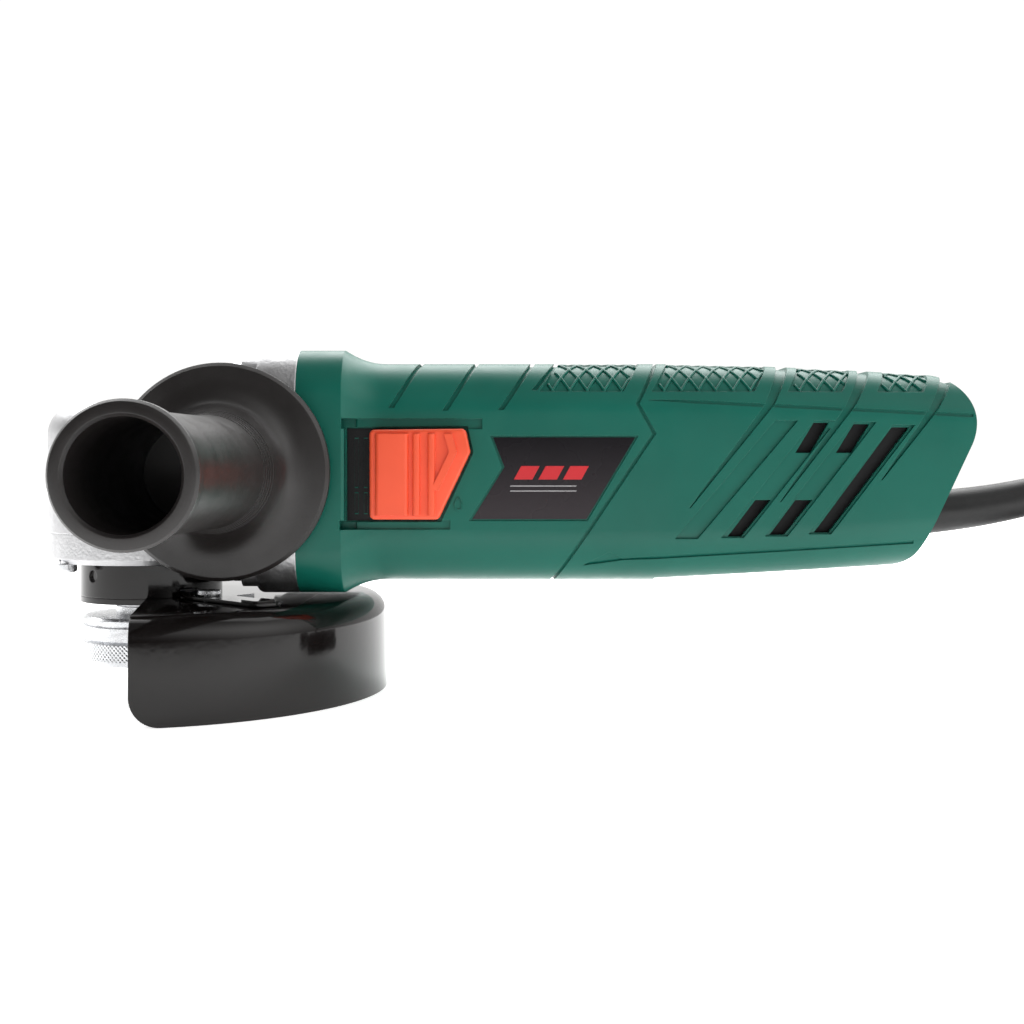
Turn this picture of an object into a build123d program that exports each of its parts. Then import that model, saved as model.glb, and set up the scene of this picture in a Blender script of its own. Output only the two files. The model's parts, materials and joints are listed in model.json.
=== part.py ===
from build123d import *
import math
import os

# A 125 mm angle grinder, in millimetres. X runs along the motor axis towards the tail, Y points
# away from the side handle and +Z is up. While the parts are made, the motor axis and the spindle
# axis cross at the origin. Every part is lifted by TIP_DROP as it is written, so that the origin
# of the written files is the tip of the spindle.

# ---- driving dimensions -------------------------------------------------------------------

TIP_DROP = 63.0  # motor axis to the tip of the spindle
REST_Z = -65.0  # lower rim of the guard, which the tool stands on

# gear case
NOSE_R = 30.0
HEAD_TOP = 20.0
HEAD_BOTTOM = -18.0
BLOCK_X0, BLOCK_X1 = 36.5, 48.7
BLOCK_W, BLOCK_H, BLOCK_R = 70.0, 69.3, 13.0
BOSS_Y = 38.0
HANDLE_X = 29.0
CORNER = 27.0  # corner screws, from the motor axis along Y and along Z

# bearing cover and spindle
COVER_BOTTOM = -26.7
NECK_R = 19.4
NECK_BOTTOM = -37.3
COVER_SCREW_PCD = 51.0
SEAT_Z = -49.5  # where the inner flange ends and the lock nut starts
NUT_BOTTOM = -57.0
THREAD_R = 7.0
SHAFT_R = 6.0

# bevel gears, whose cones meet at the origin
GEAR_TEETH = 34
PINION_TEETH = 10
GEAR_PITCH_R = 22.0
FACE_WIDTH = 8.4
LOCK_R = 10.5  # radius of the spindle-lock holes
LOCK_ANGLE = 79.0

# motor
ARMATURE_R = 15.4
CORE_X0, CORE_X1 = 84.0, 122.0
BORE_R = 16.0
STATOR_W, STATOR_H = 47.6, 54.0
FAN_X0, FAN_X1 = 55.0, 66.0
FAN_R = 25.5
COMMUTATOR_X0, COMMUTATOR_X1 = 132.0, 146.0
REAR_BEARING_X = 155.5
FRONT_BEARING_X = 42.5

# plastic housing
WALL = 2.6
COLLAR_X1 = 61.4
FLARE_X1 = 73.0
BARREL_X1 = 150.0
CARRIER_X0, CARRIER_X1 = 122.8, 163.0
TAIL_X = 250.0
HALF_W = 31.0
TOP_Z, BOTTOM_Z = 31.2, -31.4
EDGE_R = 15.0
# each section of the rear cover: X, half width, top, bottom, corner radius
REAR_SECTIONS = (
    (BARREL_X1, HALF_W, TOP_Z, BOTTOM_Z, EDGE_R),
    (180.0, 30.8, 30.6, -30.2, EDGE_R),
    (210.0, 30.2, 29.2, -28.2, 14.5),
    (230.0, 29.4, 28.0, -26.2, 14.0),
    (TAIL_X, 28.2, 26.4, -24.0, 13.5),
)
TAIL_TOP = (241.1, 12.0)  # X and Z of two points on the slanted tail face
TAIL_FOOT = (225.5, -20.7)
SPLIT = ((150.4, 40.0), (150.4, 31.2), (144.3, 19.2), (149.0, 10.8), (120.6, -31.3), (116.0, -40.0))
GROOVE_DEPTH = 0.9
SEAM_W, SEAM_DEPTH = 1.1, 0.7
CREASE_DEPTH = 0.45
GROOVE_W = 1.5
SCREEN = ((164.5, -19.4), (201.0, -18.4), (222.0, 13.6), (170.0, 14.6))
SCREEN_Y = 26.0
LONG_GROOVE_W = (3.6, 3.4, 2.6, 0.3)  # from the top edge to the pointed lower end
PAD_DEPTH = 0.7
PAD_BOTTOM = 22.6
LEAN = 8.0  # how far a slanted line moves forward over the height of the shoulder

# switch
SLIDER = ((69.3, 11.7), (96.0, 12.0), (97.4, 5.5), (88.5, -13.3), (69.4, -13.3))
RECESS = ((62.2, 12.5), (96.5, 12.8), (98.1, 5.4), (89.0, -14.1), (62.2, -14.1))
LEDGES = ((61.4, 100.6, 12.0, 14.9), (61.0, 91.6, -16.2, -13.6))
LEDGE_DEPTH = 0.9
RECESS_FLOOR = 28.7
SLIDER_FACE = 36.6
LABEL = ((103.7, 9.6), (143.6, 9.6), (129.9, -13.3), (97.9, -13.3), (106.9, 1.3))
LABEL_SEAT = ((102.9, 10.1), (144.5, 10.1), (130.2, -13.8), (96.9, -13.8), (106.2, 1.3))
LABEL_DEPTH = 0.5

# guard
RIM_R = 71.0
GUARD_T = 1.8
SHOULDER_R = 6.5
PLATE_Z = -36.8
BAND_R = 20.9
GUARD_START = -80.5  # where the guard's near edge stands, in degrees from +X
LATCH_ANGLE = -45.0
LATCH_TRAVEL = 2.5
LATCH_END = 62.0
RIVET_X = 31.0  # the rivet's distance from the spindle

# side handle
HANDLE_END = -138.4

# cord
CORD_D = 7.0
FLOOR_Z = REST_Z + CORD_D / 2
SLEEVE_LINE = ((217.5, 0, -14.0), (250.0, 0, -11.0), (271.0, 0, -6.6), (292.0, 0, 0.0))
CORD_ROUTE = (
    (292.0, 0, 0.0),
    (319.0, 0, 8.486),
    (347.5, -1, 6.8),
    (373.0, -4, -6.5),
    (391.5, -9, -28.5),
    (405.5, -14, -50.0),
    (429.0, -15, FLOOR_Z),
    (458.0, -8, FLOOR_Z),
    (476.0, 16, FLOOR_Z),
    (474.0, 46, FLOOR_Z),
    (452.0, 66, FLOOR_Z),
    (421.0, 68, FLOOR_Z),
    (391.0, 59, FLOOR_Z),
    (361.0, 51.5, FLOOR_Z),
    (331.0, 49, FLOOR_Z),
)
CLAMP_X = 210.5
COIL_X = 328.0
COIL_R_OUT = 52.5
COIL_R_IN = 22.4
COIL_TOP = REST_Z + 2 * CORD_D
PLUG_Z = REST_Z + 8.0
TAIL_ROUTE = (
    (331.0, -49, COIL_TOP - CORD_D / 2),
    (349.0, -49.2, COIL_TOP - CORD_D / 2 - 0.6),
    (367.0, -51, PLUG_Z),
    (385.0, -54, PLUG_Z),
)


# ---- helpers ------------------------------------------------------------------------------


def save(name, shape):
    """Write one node, with the origin moved to the tip of the spindle."""
    moved = Pos(0, 0, TIP_DROP) * shape
    export_step(moved, "parts/" + name + ".step")
    print(f"{name:24s} {shape.volume:10.1f} mm3")


def block(x0, x1, y0, y1, z0, z1):
    """A box between two corners."""
    middle = Pos((x0 + x1) / 2, (y0 + y1) / 2, (z0 + z1) / 2)
    return middle * Box(x1 - x0, y1 - y0, z1 - z0)


def rod_x(radius, x0, x1, y=0.0, z=0.0):
    """A cylinder along X."""
    return Pos((x0 + x1) / 2, y, z) * Rot(0, 90, 0) * Cylinder(radius, x1 - x0)


def rod_y(radius, y0, y1, x=0.0, z=0.0):
    """A cylinder along Y."""
    return Pos(x, (y0 + y1) / 2, z) * Rot(90, 0, 0) * Cylinder(radius, y1 - y0)


def rod_z(radius, z0, z1, x=0.0, y=0.0):
    """A cylinder along Z."""
    return Pos(x, y, (z0 + z1) / 2) * Cylinder(radius, z1 - z0)


def hex_z(across, z0, z1, x=0.0, y=0.0):
    """A hexagonal prism along Z, by its size across the flats."""
    outline = RegularPolygon(across / math.sqrt(3), 6)
    return Pos(x, y, z0) * extrude(outline, amount=z1 - z0)


def turned(points, arc=360.0):
    """A solid of revolution about Z from (radius, height) points."""
    face = Face(Wire.make_polygon([(r, 0, z) for r, z in points], close=True))
    return revolve(face, axis=Axis.Z, revolution_arc=arc)


def side_prism(points, y0, y1):
    """A prism along Y from an outline of (X, Z) points."""
    face = Face(Wire.make_polygon([(x, y0, z) for x, z in points], close=True))
    return extrude(face, amount=y1 - y0, dir=(0, 1, 0))


def ribbon(points, width):
    """The outline of a band on a line of (X, Z) points, its width measured along X."""
    widths = width if isinstance(width, tuple) else (width,) * len(points)
    left = [(x - w / 2, z) for (x, z), w in zip(points, widths)]
    right = [(x + w / 2, z) for (x, z), w in zip(points, widths)]
    return left + right[::-1]


def level_ribbon(points, heights):
    """The outline of a band on a nearly level line of (X, Z) points, its height measured along Z."""
    low = [(x, z - h / 2) for (x, z), h in zip(points, heights)]
    high = [(x, z + h / 2) for (x, z), h in zip(points, heights)]
    return low + high[::-1]


def section(x, half_w, top, bottom, radius):
    """A rounded rectangle across the motor axis."""
    place = Plane(origin=(x, 0, (top + bottom) / 2), x_dir=(0, 1, 0), z_dir=(1, 0, 0))
    return (place * RectangleRounded(2 * half_w, top - bottom, radius)).faces()[0]


def round_bar(x0, x1, half_w, top, bottom, radius):
    """A straight bar of rounded-rectangle section along X."""
    return extrude(section(x0, half_w, top, bottom, radius), amount=x1 - x0, dir=(1, 0, 0))


def around_z(shape, count, start=0.0):
    """Copies of a shape, evenly spaced about Z."""
    return [Rot(0, 0, start + 360.0 * i / count) * shape for i in range(count)]


def group(shapes):
    """Separate solids in one node."""
    solids = [solid for shape in shapes for solid in shape.solids()]
    return Compound(children=solids)


def ball_bearing(inner_r, outer_r, width, ball_r, count):
    """The outer race, the inner race and the caged balls of a bearing about Z."""
    pitch_r = (inner_r + outer_r) / 2
    land = ball_r * 0.92
    running_gap = 0.3
    outer = Cylinder(outer_r, width) - Cylinder(pitch_r + land, width)
    outer -= Torus(pitch_r, ball_r + running_gap)
    inner = Cylinder(pitch_r - land, width) - Cylinder(inner_r, width)
    inner -= Torus(pitch_r, ball_r)
    cage_half = ball_r * 0.45
    cage = Cylinder(pitch_r + cage_half, ball_r) - Cylinder(pitch_r - cage_half, ball_r)
    cage += [Rot(0, 0, 360.0 * i / count) * Pos(pitch_r, 0, 0) * Sphere(ball_r) for i in range(count)]
    return outer, inner, cage


def bearing_on_x(x, *sizes):
    """A ball bearing about the motor axis."""
    place = Pos(x, 0, 0) * Rot(0, 90, 0)
    return [place * piece for piece in ball_bearing(*sizes)]


def screw(length, radius, head_r, head_h, drive_r):
    """A pan-head screw along Z, its shank pointing down from Z = 0 and a hexagonal socket on top."""
    shank = rod_z(radius, -length, 0.0)
    head = rod_z(head_r, 0.0, head_h)
    head = fillet(head.edges().sort_by(Axis.Z)[-1], head_h * 0.35)
    socket = hex_z(drive_r * 2, head_h * 0.4, head_h + 1)
    return shank + (head - socket)


def coil_spring(radius, wire_r, turns, height):
    """A helical spring about Z, standing on Z = 0."""
    path = Helix(pitch=(height - 2 * wire_r) / turns, height=height - 2 * wire_r, radius=radius)
    profile = Plane(origin=path @ 0, z_dir=path % 0) * Circle(wire_r)
    return Pos(0, 0, wire_r) * sweep(profile, path=path)


# ---- bevel gears --------------------------------------------------------------------------

MODULE = 2 * GEAR_PITCH_R / GEAR_TEETH
GEAR_CONE = math.atan2(GEAR_TEETH, PINION_TEETH)
HEEL = GEAR_PITCH_R / math.sin(GEAR_CONE)
TOE = HEEL - FACE_WIDTH
ADDENDUM = 0.75 * MODULE
DEDENDUM = 1.05 * MODULE
TOOTH_HALF = 0.17 * math.pi * MODULE  # half thickness at the pitch line, thinned for backlash
FLANK = math.tan(math.radians(20.0))
ROOT_MARGIN = 0.6  # how far the root cone runs past the ends of the teeth


def bevel_teeth(cone, count, phase):
    """Straight bevel teeth about Z, whose pitch cone opens towards +Z with its tip at the origin."""
    line = Vector(math.sin(cone), 0, math.cos(cone))
    out = Vector(math.cos(cone), 0, -math.sin(cone))
    side = Vector(0, 1, 0)
    root_half = TOOTH_HALF + FLANK * DEDENDUM
    tip_half = TOOTH_HALF - FLANK * ADDENDUM
    root = -DEDENDUM - 0.25

    def end(distance):
        k = distance / HEEL
        corners = ((root, -root_half), (ADDENDUM, -tip_half), (ADDENDUM, tip_half), (root, root_half))
        points = [line * distance + out * (h * k) + side * (w * k) for h, w in corners]
        return Face(Wire.make_polygon(points, close=True))

    tooth = loft([end(TOE), end(HEEL)], ruled=True)
    return around_z(tooth, count, phase)


def cone_point(cone, distance, height):
    """Radius and distance along the axis of a point off the pitch cone, scaled with distance."""
    k = distance / HEEL
    radius = distance * math.sin(cone) + height * k * math.cos(cone)
    along = distance * math.cos(cone) - height * k * math.sin(cone)
    return radius, along


def drive_gear():
    """The crown gear below the motor axis, with four holes for the spindle lock."""
    toe = cone_point(GEAR_CONE, TOE - ROOT_MARGIN, -DEDENDUM)
    heel = cone_point(GEAR_CONE, HEEL + ROOT_MARGIN, -DEDENDUM)
    outline = [
        (SHAFT_R, 8.2), (13.0, 8.2), toe, heel, (21.9, 9.6), (21.0, 12.0), (17.0, 13.5), (SHAFT_R, 13.5),
    ]
    gear = turned(outline) + bevel_teeth(GEAR_CONE, GEAR_TEETH, 180.0 / GEAR_TEETH)
    gear = Rot(180, 0, 0) * gear
    gear -= around_z(rod_z(2.2, -14.0, -8.0, LOCK_R), 4, LOCK_ANGLE)
    return gear - block(0, SHAFT_R + 2.2, -1.5, 1.5, -14.0, -8.0)


def pinion():
    """The small bevel gear on the motor shaft, with a tooth at the bottom."""
    cone = math.pi / 2 - GEAR_CONE
    toe = cone_point(cone, TOE - ROOT_MARGIN, -DEDENDUM)
    heel = cone_point(cone, HEEL + ROOT_MARGIN, -DEDENDUM)
    outline = [(2.5, 13.0), (toe[0], 13.0), toe, heel, (heel[0], 24.0), (2.5, 24.0)]
    body = turned(outline) + bevel_teeth(cone, PINION_TEETH, 0.0)
    return Rot(0, 90, 0) * body


# ---- gear case, bearing cover and spindle -------------------------------------------------


def corner_places(x):
    """The four corner screws of the gear case, seen along X."""
    return [(x, y, z) for y in (-CORNER, CORNER) for z in (-CORNER, CORNER)]


def gear_case():
    """The cast head: rounded nose, rear flange, side bosses and a pocket for the gears."""
    head = rod_z(NOSE_R, HEAD_BOTTOM, HEAD_TOP) + block(0, 38, -NOSE_R, NOSE_R, HEAD_BOTTOM, HEAD_TOP)
    head = fillet(head.edges().filter_by(lambda e: e.center().Z > HEAD_TOP - 0.1), 9.0)
    slope = (
        (-2, 12), (2, HEAD_TOP), (26, 30.5), (38, 31.5), (38, -31), (34, -29), (31, HEAD_BOTTOM), (2, HEAD_BOTTOM),
    )
    ramp = side_prism(slope, -22.6, 22.6)
    ramp = fillet(ramp.edges().filter_by(lambda e: e.center().Z > 19 and abs(e.center().Y) > 20), 6.0)
    flange = round_bar(BLOCK_X0, BLOCK_X1, BLOCK_W / 2, BLOCK_H / 2, -BLOCK_H / 2, BLOCK_R)
    flange = fillet(flange.faces().sort_by(Axis.X)[0].edges(), 2.0)
    case = head + ramp + flange
    for side in (-1, 1):
        case += rod_y(13.0, min(side * 20, side * BOSS_Y), max(side * 20, side * BOSS_Y), HANDLE_X)
    for x, y, z in corner_places(BLOCK_X0):
        case += rod_x(5.5, x - 3.5, x + 3, y, z)
    case += rod_z(9.0, 16.0, 22.0, *lock_place())
    # the gear chamber, the bush seat, the motor-side pocket and the bearing seat
    pocket = rod_z(26.5, HEAD_BOTTOM - 1, 13.5)
    pocket = fillet(pocket.edges().sort_by(Axis.Z)[-1], 5.0)
    tunnel = rod_x(15.0, 10, 38)
    seat = rod_x(13.0, 37, BLOCK_X1 + 1)
    dish = rod_x(24.0, BLOCK_X1 - 1.5, BLOCK_X1 + 1)
    case = case - pocket - tunnel - seat - dish
    case += rod_z(10.0, 7.5, 16.0)
    case -= rod_z(7.0, 8.0, 17.6)
    case -= rod_z(SHAFT_R + 1, 7.0, 9.0)
    for side in (-1, 1):
        case -= rod_y(4.0, *sorted((side * (BOSS_Y - 15), side * 40)), HANDLE_X)
    for x, y, z in corner_places(BLOCK_X0):
        case -= rod_x(2.1, x - 4, BLOCK_X1 + 1, y, z)
    x, y = lock_place()
    case -= rod_z(1.9, 5.0, 23.0, x, y)
    case -= rod_z(5.2, 16.5, 23.0, x, y)
    case -= around_z(rod_z(1.7, HEAD_BOTTOM - 1, HEAD_BOTTOM + 9, COVER_SCREW_PCD / 2 + 2.2), 4, 45.0)
    # air leaves through windows above and below the bearing seat
    for y0 in (-19.0, 7.0):
        for z0 in (-32.0, 26.5):
            case -= block(BLOCK_X0 - 12, BLOCK_X1 + 1, y0, y0 + 12, z0, z0 + 5.5)
    return case


def lock_place():
    """X and Y of the spindle-lock pin."""
    angle = math.radians(LOCK_ANGLE)
    return LOCK_R * math.cos(angle), LOCK_R * math.sin(angle)


def bearing_cover():
    """The round cover under the gear case, whose neck carries the guard."""
    outline = [
        (16.0, -20.0), (26.4, -20.0), (26.4, HEAD_BOTTOM), (NOSE_R, HEAD_BOTTOM), (NOSE_R, COVER_BOTTOM + 1.5),
        (NOSE_R - 1.5, COVER_BOTTOM), (NECK_R, COVER_BOTTOM), (NECK_R, NECK_BOTTOM), (10.4, NECK_BOTTOM),
        (10.4, -33.6), (13.0, -33.6), (13.0, -30.0), (16.0, -30.0),
    ]
    cover = turned(outline)
    cover -= around_z(rod_z(2.0, -30, HEAD_BOTTOM + 1, COVER_SCREW_PCD / 2 + 2.2), 4, 45.0)
    notch = block(NECK_R - 1.2, NECK_R + 1, -2.6, 2.6, PLATE_Z - 0.2, PLATE_Z + 2.2)
    return cover - around_z(notch, 12, LATCH_ANGLE)


def bearing_cover_screws():
    """Four screws up through the bearing cover, their heads below it."""
    one = Rot(180, 0, 0) * screw(14.0, 1.7, 2.9, 2.4, 1.3)
    one = Pos(COVER_SCREW_PCD / 2 + 2.2, 0, COVER_BOTTOM) * one
    return group(around_z(one, 4, 45.0))


def gear_case_screws():
    """Four screws through the corners of the gear case into the motor housing."""
    one = Rot(0, -90, 0) * screw(26.0, 2.1, 4.0, 3.6, 1.9)
    return group([Pos(x - 3.5, y, z) * one for x, y, z in corner_places(BLOCK_X0)])


def spindle():
    """The output shaft, from its top journal down to the M14 thread."""
    outline = [
        (0, 16.4), (3.5, 16.4), (4.0, 15.9), (4.0, 7.0), (SHAFT_R, 7.0), (SHAFT_R, -30.4), (8.0, -30.4),
        (8.0, -38.0), (10.0, -38.0), (10.0, -40.3), (THREAD_R, -40.3), (THREAD_R, NUT_BOTTOM),
        (THREAD_R - 0.5, NUT_BOTTOM), (THREAD_R - 0.5, NUT_BOTTOM - 0.6), (THREAD_R, NUT_BOTTOM - 0.6),
        (THREAD_R, -TIP_DROP + 1.0), (THREAD_R - 1.0, -TIP_DROP), (0, -TIP_DROP),
    ]
    return turned(outline) - block(SHAFT_R - 1.8, SHAFT_R + 1, -1.5, 1.5, -13.5, -8.2)


def spindle_key():
    """The key that drives the crown gear."""
    return block(SHAFT_R - 1.8, SHAFT_R + 2.0, -1.5, 1.5, -13.4, -8.4)


def inner_flange():
    """The wheel's inner flange, with a groove round its rim."""
    outline = [
        (THREAD_R, -40.3), (10.5, -40.3), (10.5, -42.8), (19.2, -42.8), (20.0, -43.6), (20.0, -44.6),
        (19.0, -44.6), (19.0, -45.6), (20.0, -45.6), (20.0, SEAT_Z), (THREAD_R, SEAT_Z),
    ]
    return turned(outline)


def lock_nut():
    """The round nut that clamps the wheel, with four holes for a pin spanner."""
    outline = [
        (THREAD_R, SEAT_Z), (19.0, SEAT_Z), (20.0, SEAT_Z - 1), (20.0, NUT_BOTTOM + 1.6), (18.4, NUT_BOTTOM),
        (THREAD_R, NUT_BOTTOM),
    ]
    return turned(outline) - around_z(rod_z(2.5, NUT_BOTTOM - 1, NUT_BOTTOM + 4.5, 15.0), 4, 20.0)


def dust_seal():
    """The felt ring under the spindle bearing."""
    return rod_z(13.0, -33.6, -30.0) - rod_z(8.05, -34, -29)


def spindle_bush():
    """The bush that carries the top of the spindle."""
    return rod_z(7.0, 9.0, 16.0) - rod_z(4.04, 8, 17)


def lock_button():
    """The spindle-lock button and the pin under it."""
    x, y = lock_place()
    cap = rod_z(4.9, 21.6, 26.2, x, y)
    cap = fillet(cap.edges().sort_by(Axis.Z)[-1], 1.4)
    return cap + rod_z(1.8, -7.2, 22.0, x, y)


def lock_button_spring():
    """The spring under the lock button."""
    x, y = lock_place()
    return Pos(x, y, 16.6) * coil_spring(3.4, 0.3, 3.0, 4.9)


# ---- guard --------------------------------------------------------------------------------


def shoulder(radius, top, rim):
    """Points of a quarter round from the guard's flat plate to its upright skirt."""
    steps = 6
    points = []
    for i in range(steps + 1):
        angle = math.radians(90.0 - 90.0 * i / steps)
        points.append((rim - radius + radius * math.cos(angle), top - radius + radius * math.sin(angle)))
    return points


def guard_shell():
    """The pressed-steel guard: a half-round plate, a rounded shoulder, a skirt and a turned-in rim."""
    t = GUARD_T
    outer = shoulder(SHOULDER_R, PLATE_Z, RIM_R)
    inner = shoulder(SHOULDER_R - t, PLATE_Z - t, RIM_R - t)
    rim = [(RIM_R, REST_Z), (RIM_R - 4.5, REST_Z), (RIM_R - 4.5, REST_Z + t), (RIM_R - t, REST_Z + t)]
    root = BAND_R - 0.6
    outline = [(root, PLATE_Z)] + outer + rim + inner[::-1] + [(root, PLATE_Z - t)]
    sector = Rot(0, 0, GUARD_START) * turned(outline, arc=180.0)
    ring = rod_z(BAND_R, PLATE_Z - t, PLATE_Z) - rod_z(NECK_R + 0.35, PLATE_Z - t - 1, PLATE_Z + 1)
    corner_r = 8.0
    square = block(-corner_r, corner_r, 58, 80, REST_Z - 1, REST_Z + corner_r)
    rounded = rod_y(corner_r, 57, 81, -corner_r, REST_Z + corner_r)
    near_bite = Rot(0, 0, GUARD_START - 90) * (square - rounded)
    far_rounded = rod_y(corner_r, 57, 81, corner_r, REST_Z + corner_r)
    far_bite = Rot(0, 0, GUARD_START + 90) * (square - far_rounded)
    rivet_hole = Rot(0, 0, LATCH_ANGLE) * rod_z(1.8, -45, -30, RIVET_X)
    return sector + ring - near_bite - far_bite - rivet_hole


def guard_collar():
    """The clamping band welded to the guard, with its dimples and the window for the latch."""
    band = rod_z(BAND_R, PLATE_Z, COVER_BOTTOM - 0.4) - rod_z(NECK_R + 0.35, PLATE_Z - 1, -20)
    window = block(NECK_R - 2, 26, -2.9, 2.9, PLATE_Z - 1, PLATE_Z + 2.4)
    band -= Rot(0, 0, LATCH_ANGLE) * window
    dimple = Pos(BAND_R + 0.2, 0, -30.6) * Rot(0, -90, 0) * Cone(2.3, 1.5, 2.0)
    band -= [Rot(0, 0, angle) * dimple for angle in (-129.0, -9.0, 111.0)]
    return band


def guard_latch():
    """The flat latch that slides outwards to free the guard; its tooth faces the neck's notches."""
    low = PLATE_Z + 0.3
    plate = block(26.6, LATCH_END, -5.0, 5.0, low, low + 0.9)
    plate = fillet(plate.edges().filter_by(Axis.Z).sort_by(Axis.X)[-2:], 4.0)
    tooth = block(NECK_R + 0.35, 27.0, -2.5, 2.5, low, low + 0.9)
    tooth += block(NECK_R + 0.35, 24.8, -2.5, 2.5, low, low + 1.6)
    tab = block(LATCH_END - 10.5, LATCH_END - 2.5, -3.6, 3.6, low + 0.9, low + 1.4)
    tab = fillet(tab.edges().filter_by(Axis.Z), 1.5)
    slot = block(RIVET_X - LATCH_TRAVEL, RIVET_X, -2.1, 2.1, low - 1, low + 2)
    slot += rod_z(2.1, low - 1, low + 2, RIVET_X - LATCH_TRAVEL)
    slot += rod_z(2.1, low - 1, low + 2, RIVET_X)
    return Rot(0, 0, LATCH_ANGLE) * (plate + tooth + tab - slot)


def latch_rivet():
    """The shouldered rivet that guides the latch."""
    rivet = rod_z(1.8, PLATE_Z - GUARD_T, PLATE_Z + 1.6, RIVET_X)
    rivet += rod_z(3.4, PLATE_Z + 1.5, PLATE_Z + 2.7, RIVET_X)
    return Rot(0, 0, LATCH_ANGLE) * rivet


def latch_spring():
    """The strip spring beside the latch."""
    strip = rod_z(38.0, PLATE_Z, PLATE_Z + 1.3) - rod_z(37.4, PLATE_Z - 1, PLATE_Z + 2)
    keep = block(36.0, 39.0, 5.6, 15.0, PLATE_Z - 1, PLATE_Z + 2)
    return Rot(0, 0, LATCH_ANGLE) * (strip & keep)


# ---- motor --------------------------------------------------------------------------------


def armature_shaft():
    """The motor shaft, stepped for the pinion, the bearings and the core."""
    outline = [
        (0, 9.4), (2.1, 9.4), (2.5, 9.9), (2.5, 24.0), (4.5, 24.0), (4.5, 47.5), (5.0, 47.5), (5.0, 149.0),
        (3.5, 151.5), (3.5, 160.0), (0, 160.0),
    ]
    return Rot(0, 90, 0) * turned(outline)


def pinion_nut():
    """The nut that holds the pinion on the shaft."""
    nut = Rot(0, 90, 0) * hex_z(6.8, 9.8, 12.8)
    return nut - rod_x(2.5, 9, 14)


def armature_core():
    """The laminated core, with a slot for each winding."""
    core = rod_x(ARMATURE_R, CORE_X0 - 0.5, CORE_X1 + 0.5) - rod_x(5.0, 80, 130)
    slot = block(CORE_X0 - 2, CORE_X1 + 2, -1.6, 1.6, 9.5, ARMATURE_R - 1.6)
    mouth = block(CORE_X0 - 2, CORE_X1 + 2, -0.6, 0.6, 12.0, ARMATURE_R + 1)
    cut = slot + mouth
    return core - [Rot(30.0 * i, 0, 0) * cut for i in range(12)]


def armature_windings():
    """The copper end turns in front of and behind the core."""
    ends = []
    for x0, x1 in ((CORE_X0 - 9.0, CORE_X0 - 0.5), (CORE_X1 + 0.5, CORE_X1 + 8.0)):
        ring = rod_x(14.2, x0, x1)
        ring = fillet(ring.edges(), 3.0) - rod_x(5.0, x0 - 1, x1 + 1)
        ends.append(ring)
    return group(ends)


def commutator():
    """The commutator, with its bars cut apart at the surface."""
    body = rod_x(11.0, COMMUTATOR_X0, COMMUTATOR_X1) + rod_x(12.4, COMMUTATOR_X0, COMMUTATOR_X0 + 2.0)
    body -= rod_x(5.0, COMMUTATOR_X0 - 1, COMMUTATOR_X1 + 1)
    gap = block(COMMUTATOR_X0 - 1, COMMUTATOR_X1 + 1, -0.3, 0.3, 9.9, 13.0)
    return body - [Rot(15.0 * i, 0, 0) * gap for i in range(24)]


def cooling_fan():
    """The radial fan behind the front bearing."""
    disc = rod_x(FAN_R, FAN_X1 - 2.0, FAN_X1) + rod_x(9.0, FAN_X0 - 2.0, FAN_X1)
    blade = block(FAN_X0, FAN_X1, -0.8, 0.8, 8.0, FAN_R - 0.6)
    fan = disc + [Rot(360.0 / 15 * i, 0, 0) * Pos(0, 3.0, 0) * Rot(8, 0, 0) * blade for i in range(15)]
    return fan - rod_x(5.0, 50, 70)


def fan_baffle():
    """The plate that keeps the air flowing through the fan."""
    plate = round_bar(68.4, 70.2, 26.3, 28.2, -28.2, 13.0)
    return plate - rod_x(19.0, 68, 71) - block(68, 71, -28, -23.3, -7, 8)


def stator_core():
    """The laminated stator."""
    body = round_bar(CORE_X0, CORE_X1, STATOR_W / 2, STATOR_H / 2, -STATOR_H / 2, 9.0)
    body -= rod_x(BORE_R, CORE_X0 - 1, CORE_X1 + 1)
    for side in (-1, 1):
        window = round_bar(CORE_X0 - 1, CORE_X1 + 1, 15.0, 7.0, -7.0, 3.0)
        body -= Pos(0, 0, side * 15.5) * window & Pos(0, 0, side * 30) * block(60, 140, -20, 20, -20, 20)
    return body


def field_coils():
    """The two field windings, whose ends stand out of the stator."""
    coils = []
    for side in (-1, 1):
        low, high = 16.6, 22.2
        z0, z1 = (low, high) if side > 0 else (-high, -low)
        for x0, x1 in ((CORE_X0 - 8.0, CORE_X0), (CORE_X1, CORE_X1 + 8.0)):
            bundle = block(x0, x1, -14.6, 14.6, z0, z1)
            coils.append(fillet(bundle.edges().filter_by(Axis.Z), 2.5))
    return group(coils)


def brush_holder(side):
    """The lower or upper brush holder, standing out from the commutator."""
    middle = (COMMUTATOR_X0 + COMMUTATOR_X1) / 2 + 1
    z0, z1 = (12.8, 24.8)
    holder = block(middle - 6.0, middle + 6.0, -5.2, 5.2, z0, z1)
    holder -= block(middle - 4.0, middle + 4.0, -3.2, 3.2, z0 - 1, z1 - 1.4)
    foot = block(middle - 9.0, middle + 9.0, -7.0, 7.0, z1 - 2.0, z1)
    holder += foot - block(middle - 5.0, middle + 5.0, -4.0, 4.0, z1 - 3, z1 - 1.4)
    return holder if side > 0 else Rot(180, 0, 0) * holder


def carbon_brush(side):
    """A carbon brush, 0.3 mm clear of the commutator it wears against."""
    middle = (COMMUTATOR_X0 + COMMUTATOR_X1) / 2 + 1
    brush = block(middle - 3.9, middle + 3.9, -3.1, 3.1, 10.0, 18.4) - rod_x(11.3, 120, 160)
    return brush if side > 0 else Rot(180, 0, 0) * brush


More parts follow.
